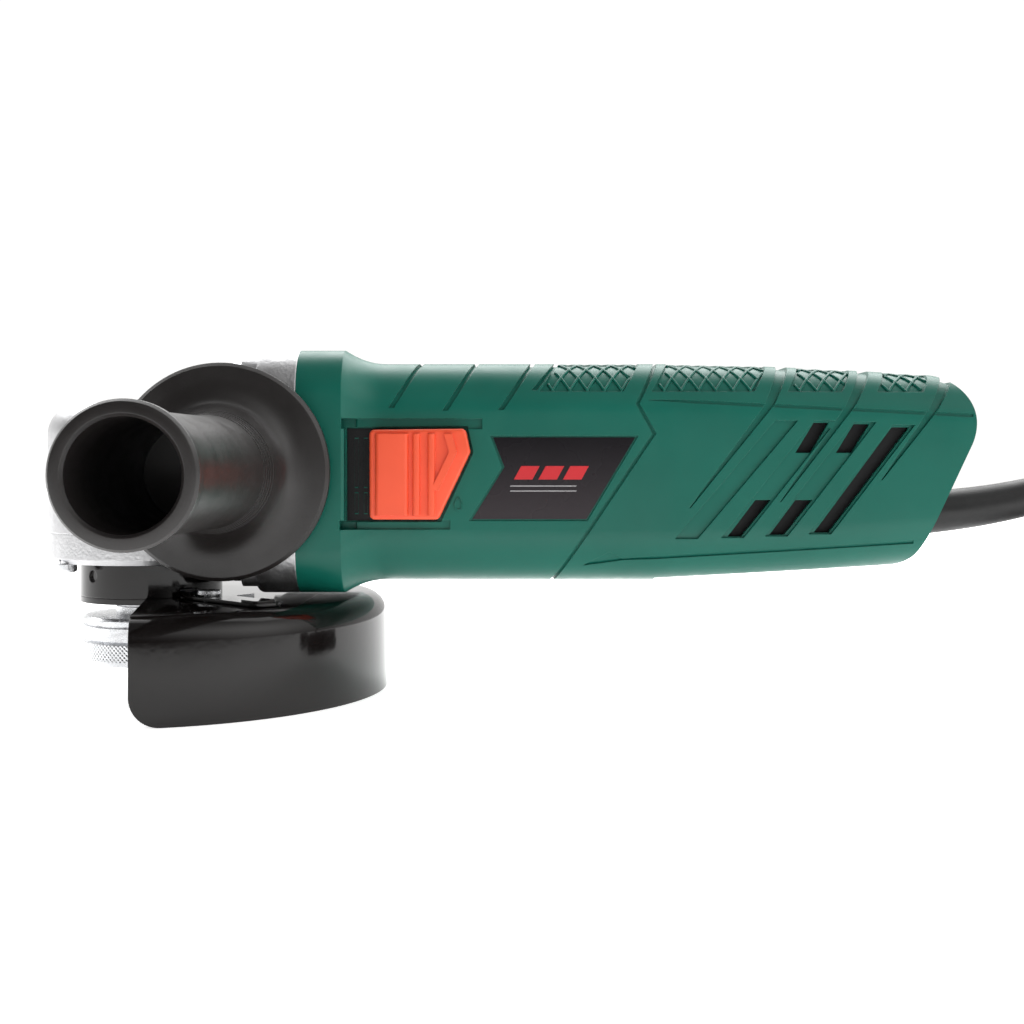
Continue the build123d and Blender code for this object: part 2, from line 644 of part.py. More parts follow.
def brush_spring(side):
    """The spring behind a carbon brush."""
    middle = (COMMUTATOR_X0 + COMMUTATOR_X1) / 2 + 1
    spring = Pos(middle, 0, 18.45) * coil_spring(2.2, 0.3, 5.0, 4.8)
    return spring if side > 0 else Rot(180, 0, 0) * spring


# ---- plastic housing ----------------------------------------------------------------------


def tail_prism(inset):
    """Everything in front of the slanted tail face, seen from the side and from above."""
    slant = Vector(TAIL_TOP[0] - TAIL_FOOT[0], 0, TAIL_TOP[1] - TAIL_FOOT[1]).normalized()
    x_axis = TAIL_FOOT[0] - TAIL_FOOT[1] * slant.X / slant.Z - inset * 1.1
    points = [(100, -45, 0), (x_axis, -45, 0), (x_axis, 45, 0), (100, 45, 0)]
    plan = FilletPolyline(*points, radius=[0, 16.5, 16.5, 0], close=True)
    prism = extrude(Face(Wire(plan.edges())), amount=60, dir=slant)
    prism += extrude(Face(Wire(plan.edges())), amount=60, dir=-slant)
    return prism


def tail_profile(inset):
    """The side view of the tail, with its rounded top and bottom corners."""
    top = REAR_SECTIONS[3][2] + 0.6 - inset
    foot = REAR_SECTIONS[3][3] - 0.4 + inset
    slope = (TAIL_TOP[0] - TAIL_FOOT[0]) / (TAIL_TOP[1] - TAIL_FOOT[1])

    def face_x(z):
        return TAIL_FOOT[0] + slope * (z - TAIL_FOOT[1]) - inset * 1.1

    points = [
        (100, 0, foot - 7), (face_x(foot) - 22, 0, foot - 1.2), (face_x(foot), 0, foot),
        (face_x(top - 3), 0, top - 3), (face_x(top) - 34, 0, top + 2.0), (100, 0, top + 9),
    ]
    outline = FilletPolyline(*points, radius=[0, 0, 7.5 - inset, 15.0 - inset, 0, 0], close=True)
    return Pos(0, -45, 0) * extrude(Face(Wire(outline.edges())), amount=90, dir=(0, 1, 0))


def rear_solid(inset):
    """The rear half of the body without its hollow, made smaller by an inset all round."""
    stations = []
    for x, half_w, top, bottom, radius in REAR_SECTIONS:
        stations.append(section(x, half_w - inset, top - inset, bottom + inset, radius - inset))
    body = loft(stations)
    return body & tail_prism(inset) & tail_profile(inset)


def front_solid(inset):
    """The collar, the flare and the straight barrel, made smaller by an inset all round."""
    collar = (BLOCK_W / 2 - inset, BLOCK_H / 2 - inset, -BLOCK_H / 2 + inset, BLOCK_R - inset / 2)
    barrel = (HALF_W - inset, TOP_Z - inset, BOTTOM_Z + inset, EDGE_R - inset)
    body = round_bar(BLOCK_X1, COLLAR_X1, *collar)
    stations = []
    steps = 6
    for i in range(steps + 1):
        # the flare is a quarter wave that leaves the collar steeply and meets the barrel smoothly
        t = i / steps
        mix = (1 - t) ** 2.2
        sizes = [b + (a - b) * mix for a, b in zip(collar, barrel)]
        stations.append(section(COLLAR_X1 + (FLARE_X1 - COLLAR_X1) * t, *sizes))
    body += loft(stations)
    return body + round_bar(FLARE_X1, BARREL_X1, *barrel)


def split_front():
    """The region in front of the chevron joint between motor housing and rear cover."""
    return side_prism([(20, 40)] + list(SPLIT) + [(20, -40)], -50, 50)


def surface_lines(depth_core):
    """The grooves over both shoulders, as solids no deeper than the groove depth."""
    housing = [
        ((83.6, 34), (83.0, 31.2), (75.1, 18.0)),
        ((99.5, 34), (98.9, 31.2), (90.2, 17.2)),
        ((115.7, 34), (115.1, 31.2), (105.9, 17.4)),
        ((122.6, 34), (122.0, 31.2), (115.3, 23.0)),
    ]
    cover = [
        ((188.0, 34), (187.0, 30.4), (181.5, 18.9), (159.0, -10.2)),
        ((211.6, 34), (210.6, 29.2), (204.3, 18.5), (184.5, -8.5)),
        ((235.5, 34), (234.5, 27.8), (228.0, 17.6), (213.1, -2.4)),
    ]
    short = [side_prism(ribbon(line, GROOVE_W), -50, 50) - depth_core for line in housing]
    long = [side_prism(ribbon(line, LONG_GROOVE_W), -50, 50) - depth_core for line in cover]
    return short, long


def pad_places():
    """Front and rear X, along the top edge, of the four grip pads on the shoulder."""
    return ((122.0, 145.5), (153.5, 182.6), (192.0, 207.6), (217.6, 231.0))


def pad_cuts(depth_core):
    """The shallow sunk fields that hold the grip pattern."""
    cuts = []
    for x0, x1 in pad_places():
        lean = LEAN * (31.0 - PAD_BOTTOM) / 13.0
        field = ((x0, 36), (x0, 31), (x0 - lean, PAD_BOTTOM), (x1 - lean, PAD_BOTTOM), (x1, 31), (x1, 36))
        cuts.append(side_prism(field, -50, 50) - depth_core)
    return cuts


def seam_cut(seam_core):
    """The open seam between the two shells."""
    return side_prism(ribbon(SPLIT, SEAM_W), -50, 50) - seam_core


def crease_cuts(crease_core):
    """The upper and lower crease along the rear cover's sides."""
    upper = ((147.5, 20.2), (160.0, 19.7), (239.3, 15.9))
    lower = ((136.5, -25.0), (150.0, -24.2), (222.7, -19.9))
    heights = (0.1, 0.9, 0.9)
    cuts = [side_prism(level_ribbon(line, heights), -50, 50) - crease_core for line in (upper, lower)]
    facet = side_prism(((129.0, -26.6), (136.5, -22.6), (141.0, -24.9)), -50, 50)
    return cuts + [facet - crease_core]


def vent_slots():
    """The slanted air slots through both sides of the rear cover."""
    slots = [
        ((194.0, 13.8), (198.3, 13.8), (193.2, 5.3), (188.8, 5.3)),
        ((177.5, -8.0), (181.9, -8.0), (173.6, -18.3), (169.7, -18.3)),
        ((205.3, 13.4), (209.8, 13.4), (204.8, 5.3), (200.3, 5.3)),
        ((188.8, -8.0), (193.6, -8.0), (185.7, -17.8), (181.5, -17.8)),
        ((216.1, 12.5), (221.2, 12.5), (198.3, -17.2), (194.0, -17.2)),
    ]
    return [side_prism(points, -50, 50) for points in slots]


def vent_channels(depth_core):
    """The shallow slanted channels that the air slots stand in."""
    lines = [
        ((186.2, 14.4), (158.0, -18.9)),
        ((197.2, 14.4), (171.0, -18.6)),
        ((208.4, 14.0), (183.3, -18.2)),
        ((219.4, 13.2), (195.6, -17.6)),
    ]
    return [side_prism(ribbon(line, 6.4), -50, 50) - depth_core for line in lines]


def motor_housing():
    """The front plastic shell: collar, flare, barrel and the inner carrier of the rear bearing."""
    outer = front_solid(0.0)
    shell = outer - front_solid(WALL)
    depth_core = front_solid(GROOVE_DEPTH)
    for cut in surface_lines(depth_core)[0]:
        shell -= cut
    shell -= pad_cuts(front_solid(PAD_DEPTH))[0]
    shell -= seam_cut(front_solid(SEAM_DEPTH))
    shell = shell & split_front()
    # the carrier slides inside the rear cover
    carrier_out = (HALF_W - WALL - 0.3, TOP_Z - WALL - 0.6, BOTTOM_Z + WALL + 1.8, EDGE_R - WALL)
    carrier_in = (carrier_out[0] - 2.0, carrier_out[1] - 2.0, carrier_out[2] + 2.0, EDGE_R - WALL - 2.0)
    carrier = round_bar(CARRIER_X0, CARRIER_X1, *carrier_out)
    step = front_solid(WALL / 2) & block(CARRIER_X0, CARRIER_X0 + 3.5, -40, 40, -40, 40) & split_front()
    carrier = carrier + step - round_bar(CARRIER_X0 - 1, CARRIER_X1 + 1, *carrier_in)
    ring = rod_x(15.0, 151.5, 161.0) - rod_x(11.9, 152.0, 162.0) - rod_x(8.0, 151.0, 153.0)
    web = block(151.5, 154.5, -27.0, 27.0, -4.0, 4.0) + block(151.5, 154.5, -4.0, 4.0, -27.0, 27.0)
    ring += web - rod_x(13.0, 151.0, 162.0)
    ring = ring & round_bar(150.0, 164.0, *carrier_in)
    shell = shell + carrier + ring
    shell -= block(149.0, 165.0, -29.5, -23.0, -4.2, 6.2)
    # the rear cover's screws are driven into two bosses on the carrier
    for z in (-14.0, 14.0):
        boss = rod_y(3.6, 20.0, carrier_in[0] + 0.5, 157.5, z)
        shell = shell + boss - rod_y(1.5, 20.0 - 1, 32.0, 157.5, z)
    # ribs that hold the stator, and the corner bosses for the gear-case screws
    for side in (-1, 1):
        z0, z1 = sorted((side * 27.0, side * 29.2))
        shell += block(CORE_X0, CORE_X1, -10.0, -6.0, z0, z1) + block(CORE_X0, CORE_X1, 6.0, 10.0, z0, z1)
    shell += block(CORE_X0, CORE_X1, STATOR_W / 2, 29.0, -8.0, 8.0)
    for x, y, z in corner_places(BLOCK_X1):
        boss = rod_x(4.6, x, x + 11.5, y, z) & outer
        shell = shell + boss - rod_x(2.1, x - 1, x + 11.0, y, z)
    # the switch recess, its floor and the slot for the switch rod
    shell += block(60.5, 102.0, -29.2, -26.6, -18.0, 16.8)
    shell -= side_prism(RECESS, -45.0, -RECESS_FLOOR)
    for x0, x1, z0, z1 in LEDGES:
        shell -= block(x0, x1, -45.0, -HALF_W + LEDGE_DEPTH, z0, z1)
    for side in (-1, 1):
        shell -= side_prism(LABEL_SEAT, *sorted((side * (HALF_W - LABEL_DEPTH), side * 45.0)))
    return shell - block(72.0, 92.0, -30.0, -25.0, -3.6, 5.6)


def rear_cover():
    """The rear shell: slanted tail, air slots, grooves, grip fields and the cord hole."""
    outer = front_solid(0.0) + rear_solid(0.0)
    hollow = front_solid(WALL) + rear_solid(WALL)
    shell = outer - hollow
    shell -= split_front()
    depth_core = front_solid(GROOVE_DEPTH) + rear_solid(GROOVE_DEPTH)
    for cut in surface_lines(depth_core)[1] + vent_channels(depth_core):
        shell -= cut
    for cut in pad_cuts(front_solid(PAD_DEPTH) + rear_solid(PAD_DEPTH))[1:]:
        shell -= cut
    for slot in vent_slots():
        shell -= slot
    for cut in crease_cuts(front_solid(CREASE_DEPTH) + rear_solid(CREASE_DEPTH)):
        shell -= cut
    shell -= seam_cut(front_solid(SEAM_DEPTH) + rear_solid(SEAM_DEPTH))
    for z in (-14.0, 14.0):
        shell -= rod_y(1.6, 25.0, 32.0, 157.5, z)
        shell -= rod_y(3.2, 29.6, 32.0, 157.5, z)
    start, heading = Vector(*SLEEVE_LINE[0]), Vector(*SLEEVE_LINE[1]) - Vector(*SLEEVE_LINE[0])
    hole = Plane(origin=start, z_dir=heading) * Circle(7.4)
    return shell - extrude(hole, amount=30, both=True)


def dust_screens():
    """Two sheets of filter mesh behind the air slots; the far one is cut out round the switch."""
    near = side_prism(SCREEN, -SCREEN_Y - 0.6, -SCREEN_Y)
    far = side_prism(SCREEN, SCREEN_Y, SCREEN_Y + 0.6)
    for x in (182.5, 194.5):
        far -= block(x, x + 5.0, 20, 30, -5.0, 9.0)
    return group([near, far])


def rear_cover_screws():
    """Two screws through the far side of the rear cover."""
    one = Rot(-90, 0, 0) * screw(8.6, 1.5, 2.9, 1.3, 1.1)
    return group([Pos(157.5, 29.6, z) * one for z in (-14.0, 14.0)])


def label_plate(side):
    """A thin chevron plate stuck to the barrel's side."""
    y0, y1 = sorted((side * (HALF_W - LABEL_DEPTH), side * (HALF_W - 0.1)))
    return side_prism(LABEL, y0, y1)


# ---- switch -------------------------------------------------------------------------------


def switch_slider():
    """The slide switch: a smooth crown in front, two upright ridges and a slanted one behind."""
    body = side_prism(SLIDER, -SLIDER_FACE + 1.2, -RECESS_FLOOR - 0.3)
    body = fillet(body.edges().filter_by(Axis.Y), 1.4)
    body = fillet(body.faces().sort_by(Axis.Y)[0].edges(), 0.8)
    crown = block(71.0, 80.2, -SLIDER_FACE, -SLIDER_FACE + 2.4, -12.1, 10.6)
    crown = fillet(crown.edges().filter_by(Axis.Z).group_by(Axis.Y)[0], 1.1)
    body += crown
    for x in (82.4, 86.6):
        ridge = block(x - 1.0, x + 1.0, -SLIDER_FACE, -SLIDER_FACE + 2.4, -12.1, 10.6)
        body += fillet(ridge.edges().filter_by(Axis.Z).group_by(Axis.Y)[0], 0.7)
    bend = ribbon(((91.2, 10.6), (92.6, 5.4), (87.6, -5.0), (87.6, -5.2)), 2.2)
    body += side_prism(bend, -SLIDER_FACE, -SLIDER_FACE + 2.4)
    stem = block(79.0, 85.6, -RECESS_FLOOR - 0.4, -25.6, -2.6, 4.6)
    return body + stem


def switch_link_rod():
    """The flat rod inside the near wall, from the slider back to the power switch."""
    bar = block(78.0, 176.0, -25.6, -24.4, -2.0, 4.0)
    arm = block(172.0, 176.0, -25.0, -4.3, -2.0, 4.0)
    return bar + arm


def power_switch():
    """The switch block in the rear cover."""
    body = block(177.0, 205.0, -13.5, 13.5, -9.0, 13.0)
    body = fillet(body.edges().filter_by(Axis.X), 1.5)
    toggle = block(163.8, 178.0, -4.0, 4.0, -1.0, 5.0)
    feet = block(183.0, 187.0, 13.0, 27.2, -4.0, 8.0) + block(195.0, 199.0, 13.0, 27.0, -4.0, 8.0)
    return body + feet + toggle


# ---- side handle --------------------------------------------------------------------------


def along_handle(shape):
    """Turn a shape made about +Z so that it stands on the handle's axis and points at -Y."""
    return Pos(HANDLE_X, 0, 0) * Rot(90, 0, 0) * shape


def side_handle_grip():
    """The handle: a flange disc, a coned hub, a waisted tube and a beaded open end."""
    base = BOSS_Y
    end = -HANDLE_END
    profile = [
        (0, base), (29.2, base), (30.0, base + 0.8), (30.0, base + 2.6), (29.0, base + 3.6), (24.0, base + 4.0),
        (21.2, base + 4.8), (19.2, base + 6.2), (17.8, base + 8.4), (16.8, base + 11.2), (15.9, base + 15.4),
        (15.1, base + 20.4), (14.5, base + 28.0), (14.2, end - 30.0),
        (14.5, end - 10.0), (15.2, end - 5.5), (15.9, end - 3.4), (15.9, end - 1.2), (15.3, end - 0.3),
        (14.4, end), (12.9, end), (12.2, end - 0.9), (12.2, base + 36.0), (0, base + 36.0),
    ]
    grip = turned(profile)
    rings = [rod_z(20, base + 13.0 + 1.7 * i, base + 13.6 + 1.7 * i) for i in range(5)]
    core = rod_z(14.7, base, end)
    inner = rod_z(8.0, base, base + 60.0)
    grip -= [ring - core - inner for ring in rings]
    return along_handle(grip) - side_handle_stud()


def side_handle_stud():
    """The M8 stud moulded into the handle, with its hexagonal head."""
    stud = rod_z(3.95, BOSS_Y - 13.0, BOSS_Y + 28.0) + hex_z(13.0, BOSS_Y + 22.0, BOSS_Y + 28.0)
    return along_handle(stud)


# ---- cord ---------------------------------------------------------------------------------


def cord_path(route):
    """Straight runs joined by arcs, each arc as large as its two runs allow."""
    points = [Vector(*p) for p in route]
    radii = []
    for before, here, after in zip(points, points[1:], points[2:]):
        turn = (here - before).get_angle(after - here)
        shorter = min((here - before).length, (after - here).length)
        radii.append(0.45 * shorter / math.tan(math.radians(turn / 2)))
    return FilletPolyline(*points, radius=radii)


def tube(route, radius):
    """A round tube along a route."""
    path = cord_path(route)
    profile = Plane(origin=path @ 0, z_dir=path % 0) * Circle(radius)
    return sweep(profile, path=path)


def cord_sleeve():
    """The tapered sleeve that keeps the cord from kinking, with the collar that the cover traps."""
    line = cord_path(SLEEVE_LINE)
    start_r, end_r = 6.9, 4.9
    faces = []
    steps = 6
    for i in range(steps + 1):
        t = i / steps
        place = Plane(origin=line @ t, z_dir=line % t)
        faces.append((place * Circle(start_r + (end_r - start_r) * t)).faces()[0])
    body = loft(faces)
    collar = Plane(origin=line @ 0, z_dir=line % 0) * Circle(9.0)
    body += extrude(collar, amount=-2.5) + extrude(collar, amount=1.5)
    return body


def cord_clamp():
    """The bar that grips the cord inside the rear cover."""
    bar = block(CLAMP_X - 3, CLAMP_X + 3, -9.0, 9.0, -9.6, -6.6)
    return bar - rod_z(1.5, -12, -5, CLAMP_X, -6.6) - rod_z(1.5, -12, -5, CLAMP_X, 6.6)


def cord_clamp_screws():
    """Two screws that pull the clamp bar down."""
    one = screw(12.0, 1.5, 2.6, 1.8, 1.1)
    return group([Pos(CLAMP_X, y, -6.6) * one for y in (-6.6, 6.6)])


def cord_coil():
    """The outer shape of the coiled part of the cord, which lies in two layers."""
    ring = turned([(COIL_R_IN, REST_Z), (COIL_R_OUT, REST_Z), (COIL_R_OUT, COIL_TOP), (COIL_R_IN, COIL_TOP)])
    return Pos(COIL_X, 0, 0) * ring


def plug_body():
    """The moulded plug, narrow where the cord enters and wide at the pins."""
    x0 = TAIL_ROUTE[-1][0]
    y0 = TAIL_ROUTE[-1][1]
    faces = []
    for x, width, height in ((0, 10.0, 10.0), (14, 13.0, 12.0), (26, 30.0, 14.5), (46, 36.0, 16.0), (50, 36.0, 16.0)):
        place = Plane(origin=(x, 0, 0), x_dir=(0, 1, 0), z_dir=(1, 0, 0))
        faces.append((place * RectangleRounded(width, height, min(width, height) * 0.42)).faces()[0])
    heading = Vector(*TAIL_ROUTE[-1]) - Vector(*TAIL_ROUTE[-2])
    turn = math.degrees(math.atan2(heading.Y, heading.X))
    return Pos(x0, y0, PLUG_Z) * Rot(0, 0, turn) * loft(faces)


def plug_pins():
    """The two round pins of the plug."""
    heading = Vector(*TAIL_ROUTE[-1]) - Vector(*TAIL_ROUTE[-2])
    turn = math.degrees(math.atan2(heading.Y, heading.X))
    place = Pos(TAIL_ROUTE[-1][0], TAIL_ROUTE[-1][1], PLUG_Z) * Rot(0, 0, turn)
    pins = []
    for y in (-9.5, 9.5):
        pin = rod_x(2.4, 50.0, 69.0, y)
        pins.append(place * fillet(pin.edges().sort_by(Axis.X)[-1], 1.2))
    return group(pins)


# ---- write every node ---------------------------------------------------------------------

os.makedirs("parts", exist_ok=True)

save("gear_case", gear_case())
save("gear_case_screws", gear_case_screws())
save("bearing_cover", bearing_cover())
save("bearing_cover_screws", bearing_cover_screws())
save("spindle", spindle())
save("spindle_key", spindle_key())
save("drive_gear", drive_gear())
save("spindle_bush", spindle_bush())
save("dust_seal", dust_seal())
save("inner_flange", inner_flange())
save("lock_nut", lock_nut())
save("lock_button", lock_button())
save("lock_button_spring", lock_button_spring())
for name, piece in zip(("outer", "inner", "balls"), ball_bearing(SHAFT_R, 16.0, 10.0, 2.4, 8)):
    save("spindle_bearing_" + name, Pos(0, 0, -25.0) * piece)
for name, piece in zip(("outer", "inner", "balls"), bearing_on_x(FRONT_BEARING_X, 4.5, 13.0, 8.0, 2.1, 8)):
    save("front_bearing_" + name, piece)
for name, piece in zip(("outer", "inner", "balls"), bearing_on_x(REAR_BEARING_X, 3.5, 11.0, 7.0, 1.8, 8)):
    save("rear_bearing_" + name, piece)
save("rear_bearing_sleeve", rod_x(11.9, 152.0, 159.0) - rod_x(11.0, 151, 160))
save("pinion", pinion())
save("pinion_nut", pinion_nut())
save("armature_shaft", armature_shaft())
save("armature_core", armature_core())
save("armature_windings", armature_windings())
save("commutator", commutator())
save("cooling_fan", cooling_fan())
save("fan_baffle", fan_baffle())
save("stator_core", stator_core())
save("field_coils", field_coils())
save("brush_holders", group([brush_holder(side) for side in (-1, 1)]))
save("carbon_brushes", group([carbon_brush(side) for side in (-1, 1)]))
save("brush_springs", group([brush_spring(side) for side in (-1, 1)]))
save("power_switch", power_switch())
save("switch_slider", switch_slider())
save("switch_link_rod", switch_link_rod())
save("motor_housing", motor_housing())
save("rear_cover", rear_cover())
save("dust_screens", dust_screens())
save("rear_cover_screws", rear_cover_screws())
save("label_plate", label_plate(-1))
save("rating_plate", label_plate(1))
save("guard_shell", guard_shell())
save("guard_collar", guard_collar())
save("guard_latch", guard_latch())
save("latch_rivet", latch_rivet())
save("latch_spring", latch_spring())
save("side_handle_grip", side_handle_grip())
save("side_handle_stud", side_handle_stud())
cord_lead = tube(CORD_ROUTE, CORD_D / 2)
cord_tail = tube(TAIL_ROUTE, CORD_D / 2)
save("cord_lead", cord_lead)
save("cord_tail", cord_tail)
save("cord_coil", cord_coil() - cord_lead - cord_tail)
save("cord_sleeve", cord_sleeve())
save("cord_clamp", cord_clamp())
save("cord_clamp_screws", cord_clamp_screws())
save("plug_body", plug_body())
save("plug_pins", plug_pins())
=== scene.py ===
import json
import math

import bmesh
import bpy
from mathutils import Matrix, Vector


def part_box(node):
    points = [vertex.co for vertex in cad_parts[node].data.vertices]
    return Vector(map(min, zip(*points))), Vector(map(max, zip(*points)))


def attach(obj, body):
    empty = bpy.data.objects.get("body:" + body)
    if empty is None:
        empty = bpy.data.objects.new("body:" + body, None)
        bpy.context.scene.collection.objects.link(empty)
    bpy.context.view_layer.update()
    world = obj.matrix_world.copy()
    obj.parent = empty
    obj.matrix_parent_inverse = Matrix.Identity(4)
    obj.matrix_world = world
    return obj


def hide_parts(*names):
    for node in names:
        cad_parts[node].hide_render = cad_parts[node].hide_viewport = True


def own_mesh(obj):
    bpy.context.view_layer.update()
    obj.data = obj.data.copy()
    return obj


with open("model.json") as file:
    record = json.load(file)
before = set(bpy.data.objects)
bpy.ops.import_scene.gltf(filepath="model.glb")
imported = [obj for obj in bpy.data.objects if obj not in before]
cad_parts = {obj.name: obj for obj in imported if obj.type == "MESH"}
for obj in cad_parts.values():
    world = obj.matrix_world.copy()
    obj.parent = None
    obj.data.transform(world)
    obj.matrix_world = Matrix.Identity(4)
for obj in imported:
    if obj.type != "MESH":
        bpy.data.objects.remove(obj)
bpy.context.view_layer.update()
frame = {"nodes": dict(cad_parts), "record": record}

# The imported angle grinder, in metres: origin at the tip of the spindle, +X along the motor axis
# towards the tail, +Z up, -Y towards the side handle. This script adds the finishes, the cord, the
# grip pattern and the small mouldings.

MM = 0.001

# ---- places that the pieces share, in millimetres -------------------------------------------

AXIS_Z = 63.0  # the motor axis
REST_Z = -2.0  # what the tool stands on
HALF_W = 31.0
RECESS_FLOOR = 28.7
CORD_D = 7.0
FLOOR_Z = REST_Z + CORD_D / 2
COIL_X = 328.0
COIL_OUTER_R = 49.0
COIL_INNER_R = 25.9
COIL_TURNS = 6.5
COIL_STEPS = 16  # control points to a turn

# the four grip fields, from front to rear along X, and their crossing ribs
PADS = ((122.0, 145.5), (153.5, 182.6), (192.0, 207.6), (217.6, 231.0))
PAD_DEPTH = 0.72  # how far the fields are sunk into the body
PAD_RISE = 0.62  # how far a rib stands above the bottom of its field
PAD_LEAN = 8.0 / 13.0  # the ends lean back by this per millimetre of height
PAD_BOTTOM = 22.6
PAD_SPACING = 4.9
RIB_SWEEP = 35.0  # how far along X a rib travels from one lower edge over the top to the other
RIB_STEPS = 90
RIB_HALF_WIDTH = 0.5

# X, half width, top height above the motor axis and corner radius of the body
BODY = (
    (73.0, 31.0, 31.2, 15.0),
    (150.0, 31.0, 31.2, 15.0),
    (180.0, 30.8, 30.6, 15.0),
    (210.0, 30.2, 29.2, 14.5),
    (230.0, 29.4, 28.0, 14.0),
    (250.0, 28.2, 26.4, 13.5),
)
# soft bright patches of the studio: direction, tightness and strength
GLOWS = (
    ((0.1, 0.1, 1.0), 3.0, 0.3),
    ((0.9, -0.35, 0.5), 8.0, 1.9),
    ((-0.9, -0.35, 0.35), 9.0, 0.25),
    ((0.35, -0.7, 0.62), 14.0, 0.7),
)
FRONT_DIM = 0.035
BACK_BRIGHT = 1.05
FLOOR_HALF = 3.0  # metres
FLOOR_GLOW = 0.75
SMOOTH_ANGLE = math.radians(26.0)
MERGE_DISTANCE = 2e-6  # metres

SPRING_WIRE_R = 0.3
SPRING_TURNS = 3
SPRING_STEPS = 28  # rings to a turn
WIRE_SIDES = 8

# the plain marks on the label and the rating plate
MARK_LEAN = 0.55
BAR_STARTS = (109.5, 116.4, 123.3)
BAR_LENGTH = 5.2
BAR_Z = (-2.2, 1.6)
LINE_X = (108.4, 127.0)
LINE_HEIGHTS = (-5.6, -4.2)
LINE_THICKNESS = 0.35

# the small mouldings by the slider
OVAL_CENTRE = (93.9, -9.4)
OVAL_HALF_WIDTH = 1.15
OVAL_WIDTH = 0.42
# a black plate under the slider: painted shade, put where a deep recess would lie in shade
RECESS_SHADE_PLATE = (62.5, 88.0, -13.8, 12.2)
TICK_STARTS = (64.6, 67.2)
TICK_SPANS = ((-12.0, -5.8), (-4.6, 9.6))
TICK_LENGTH = 1.1

# control points of the cord: from the sleeve to the coil, and from the coil to the plug
LEAD = (
    (292.0, 0, AXIS_Z),
    (319.0, 0, AXIS_Z + 8.486),
    (347.5, -1, AXIS_Z + 6.8),
    (373.0, -4, AXIS_Z - 6.5),
    (391.5, -9, AXIS_Z - 28.5),
    (405.5, -14, AXIS_Z - 50.0),
    (429.0, -15, FLOOR_Z),
    (458.0, -8, FLOOR_Z),
    (476.0, 16, FLOOR_Z),
    (474.0, 46, FLOOR_Z),
    (452.0, 66, FLOOR_Z),
    (421.0, 68, FLOOR_Z),
    (391.0, 59, FLOOR_Z),
    (361.0, 51.5, FLOOR_Z),
    (331.0, 49, FLOOR_Z),
)
TAIL = (
    (331.0, -49, FLOOR_Z + CORD_D),
    (349.0, -49.2, FLOOR_Z + CORD_D - 0.6),
    (367.0, -51, REST_Z + 8.0),
    (385.0, -54, REST_Z + 8.0),
)


# ---- node helpers ---------------------------------------------------------------------------


class Nodes:
    """A short way to build a node material."""

    def __init__(self, name):
        self.material = bpy.data.materials.new(name)
        self.material.use_nodes = True
        self.tree = self.material.node_tree
        self.shader = self.tree.nodes["Principled BSDF"]
        self.place = self.add("ShaderNodeTexCoord").outputs["Object"]

    def add(self, kind, **values):
        node = self.tree.nodes.new(kind)
        for key, value in values.items():
            setattr(node, key, value)
        return node

    def link(self, source, target):
        self.tree.links.new(source, target)

    def put(self, socket, value):
        if isinstance(value, bpy.types.NodeSocket):
            self.link(value, socket)
        else:
            socket.default_value = value

    def math(self, operation, a, b=0.0):
        node = self.add("ShaderNodeMath", operation=operation)
        self.put(node.inputs[0], a)
        self.put(node.inputs[1], b)
        return node.outputs[0]

    def noise(self, scale, detail=3.0, rough=0.5):
        node = self.add("ShaderNodeTexNoise")
        self.link(self.place, node.inputs["Vector"])
        node.inputs["Scale"].default_value = scale
        node.inputs["Detail"].default_value = detail
        node.inputs["Roughness"].default_value = rough
        return node.outputs["Fac"]

    def cells(self, scale, feature="F1"):
        node = self.add("ShaderNodeTexVoronoi", feature=feature)
        self.link(self.place, node.inputs["Vector"])
        node.inputs["Scale"].default_value = scale
        return node.outputs["Distance"]

    def remap(self, value, low, high, to_low, to_high):
        node = self.add("ShaderNodeMapRange")
        self.link(value, node.inputs["Value"])
        limits = {"From Min": low, "From Max": high, "To Min": to_low, "To Max": to_high}
        for key, number in limits.items():
            node.inputs[key].default_value = number
        return node.outputs["Result"]

    def mix(self, factor, a, b):
        node = self.add("ShaderNodeMix", data_type="RGBA")
        self.put(node.inputs["Factor"], factor)
        self.put(node.inputs["A"], a)
        self.put(node.inputs["B"], b)
        return node.outputs["Result"]

    def split(self):
        node = self.add("ShaderNodeSeparateXYZ")
        self.link(self.place, node.inputs[0])
        return node.outputs

    def edges(self, radius):
        """0 on flat surfaces, rising towards 1 on edges within the radius."""
        bevel = self.add("ShaderNodeBevel", samples=4)
        bevel.inputs["Radius"].default_value = radius
        geometry = self.add("ShaderNodeNewGeometry")
        dot = self.add("ShaderNodeVectorMath", operation="DOT_PRODUCT")
        self.link(bevel.outputs[0], dot.inputs[0])
        self.link(geometry.outputs["Normal"], dot.inputs[1])
        return bevel.outputs[0], self.remap(dot.outputs["Value"], 0.995, 0.8, 0.0, 1.0)

    def bump(self, height, distance, strength=1.0, normal=None):
        node = self.add("ShaderNodeBump")
        node.inputs["Strength"].default_value = strength
        node.inputs["Distance"].default_value = distance
        self.link(height, node.inputs["Height"])
        if normal is not None:
            self.link(normal, node.inputs["Normal"])
        return node.outputs[0]

    def finish(self, colour=None, roughness=None, normal=None, **constants):
        if colour is not None:
            self.put(self.shader.inputs["Base Color"], colour)
        if roughness is not None:
            self.put(self.shader.inputs["Roughness"], roughness)
        if normal is not None:
            self.link(normal, self.shader.inputs["Normal"])
        for key, value in constants.items():
            self.shader.inputs[key.replace("_", " ")].default_value = value
        return self.material


def rgba(r, g, b):
    return (r, g, b, 1.0)


def shade(colour, factor):
    return rgba(*[min(1.0, c * factor) for c in colour[:3]])


# ---- finishes -------------------------------------------------------------------------------

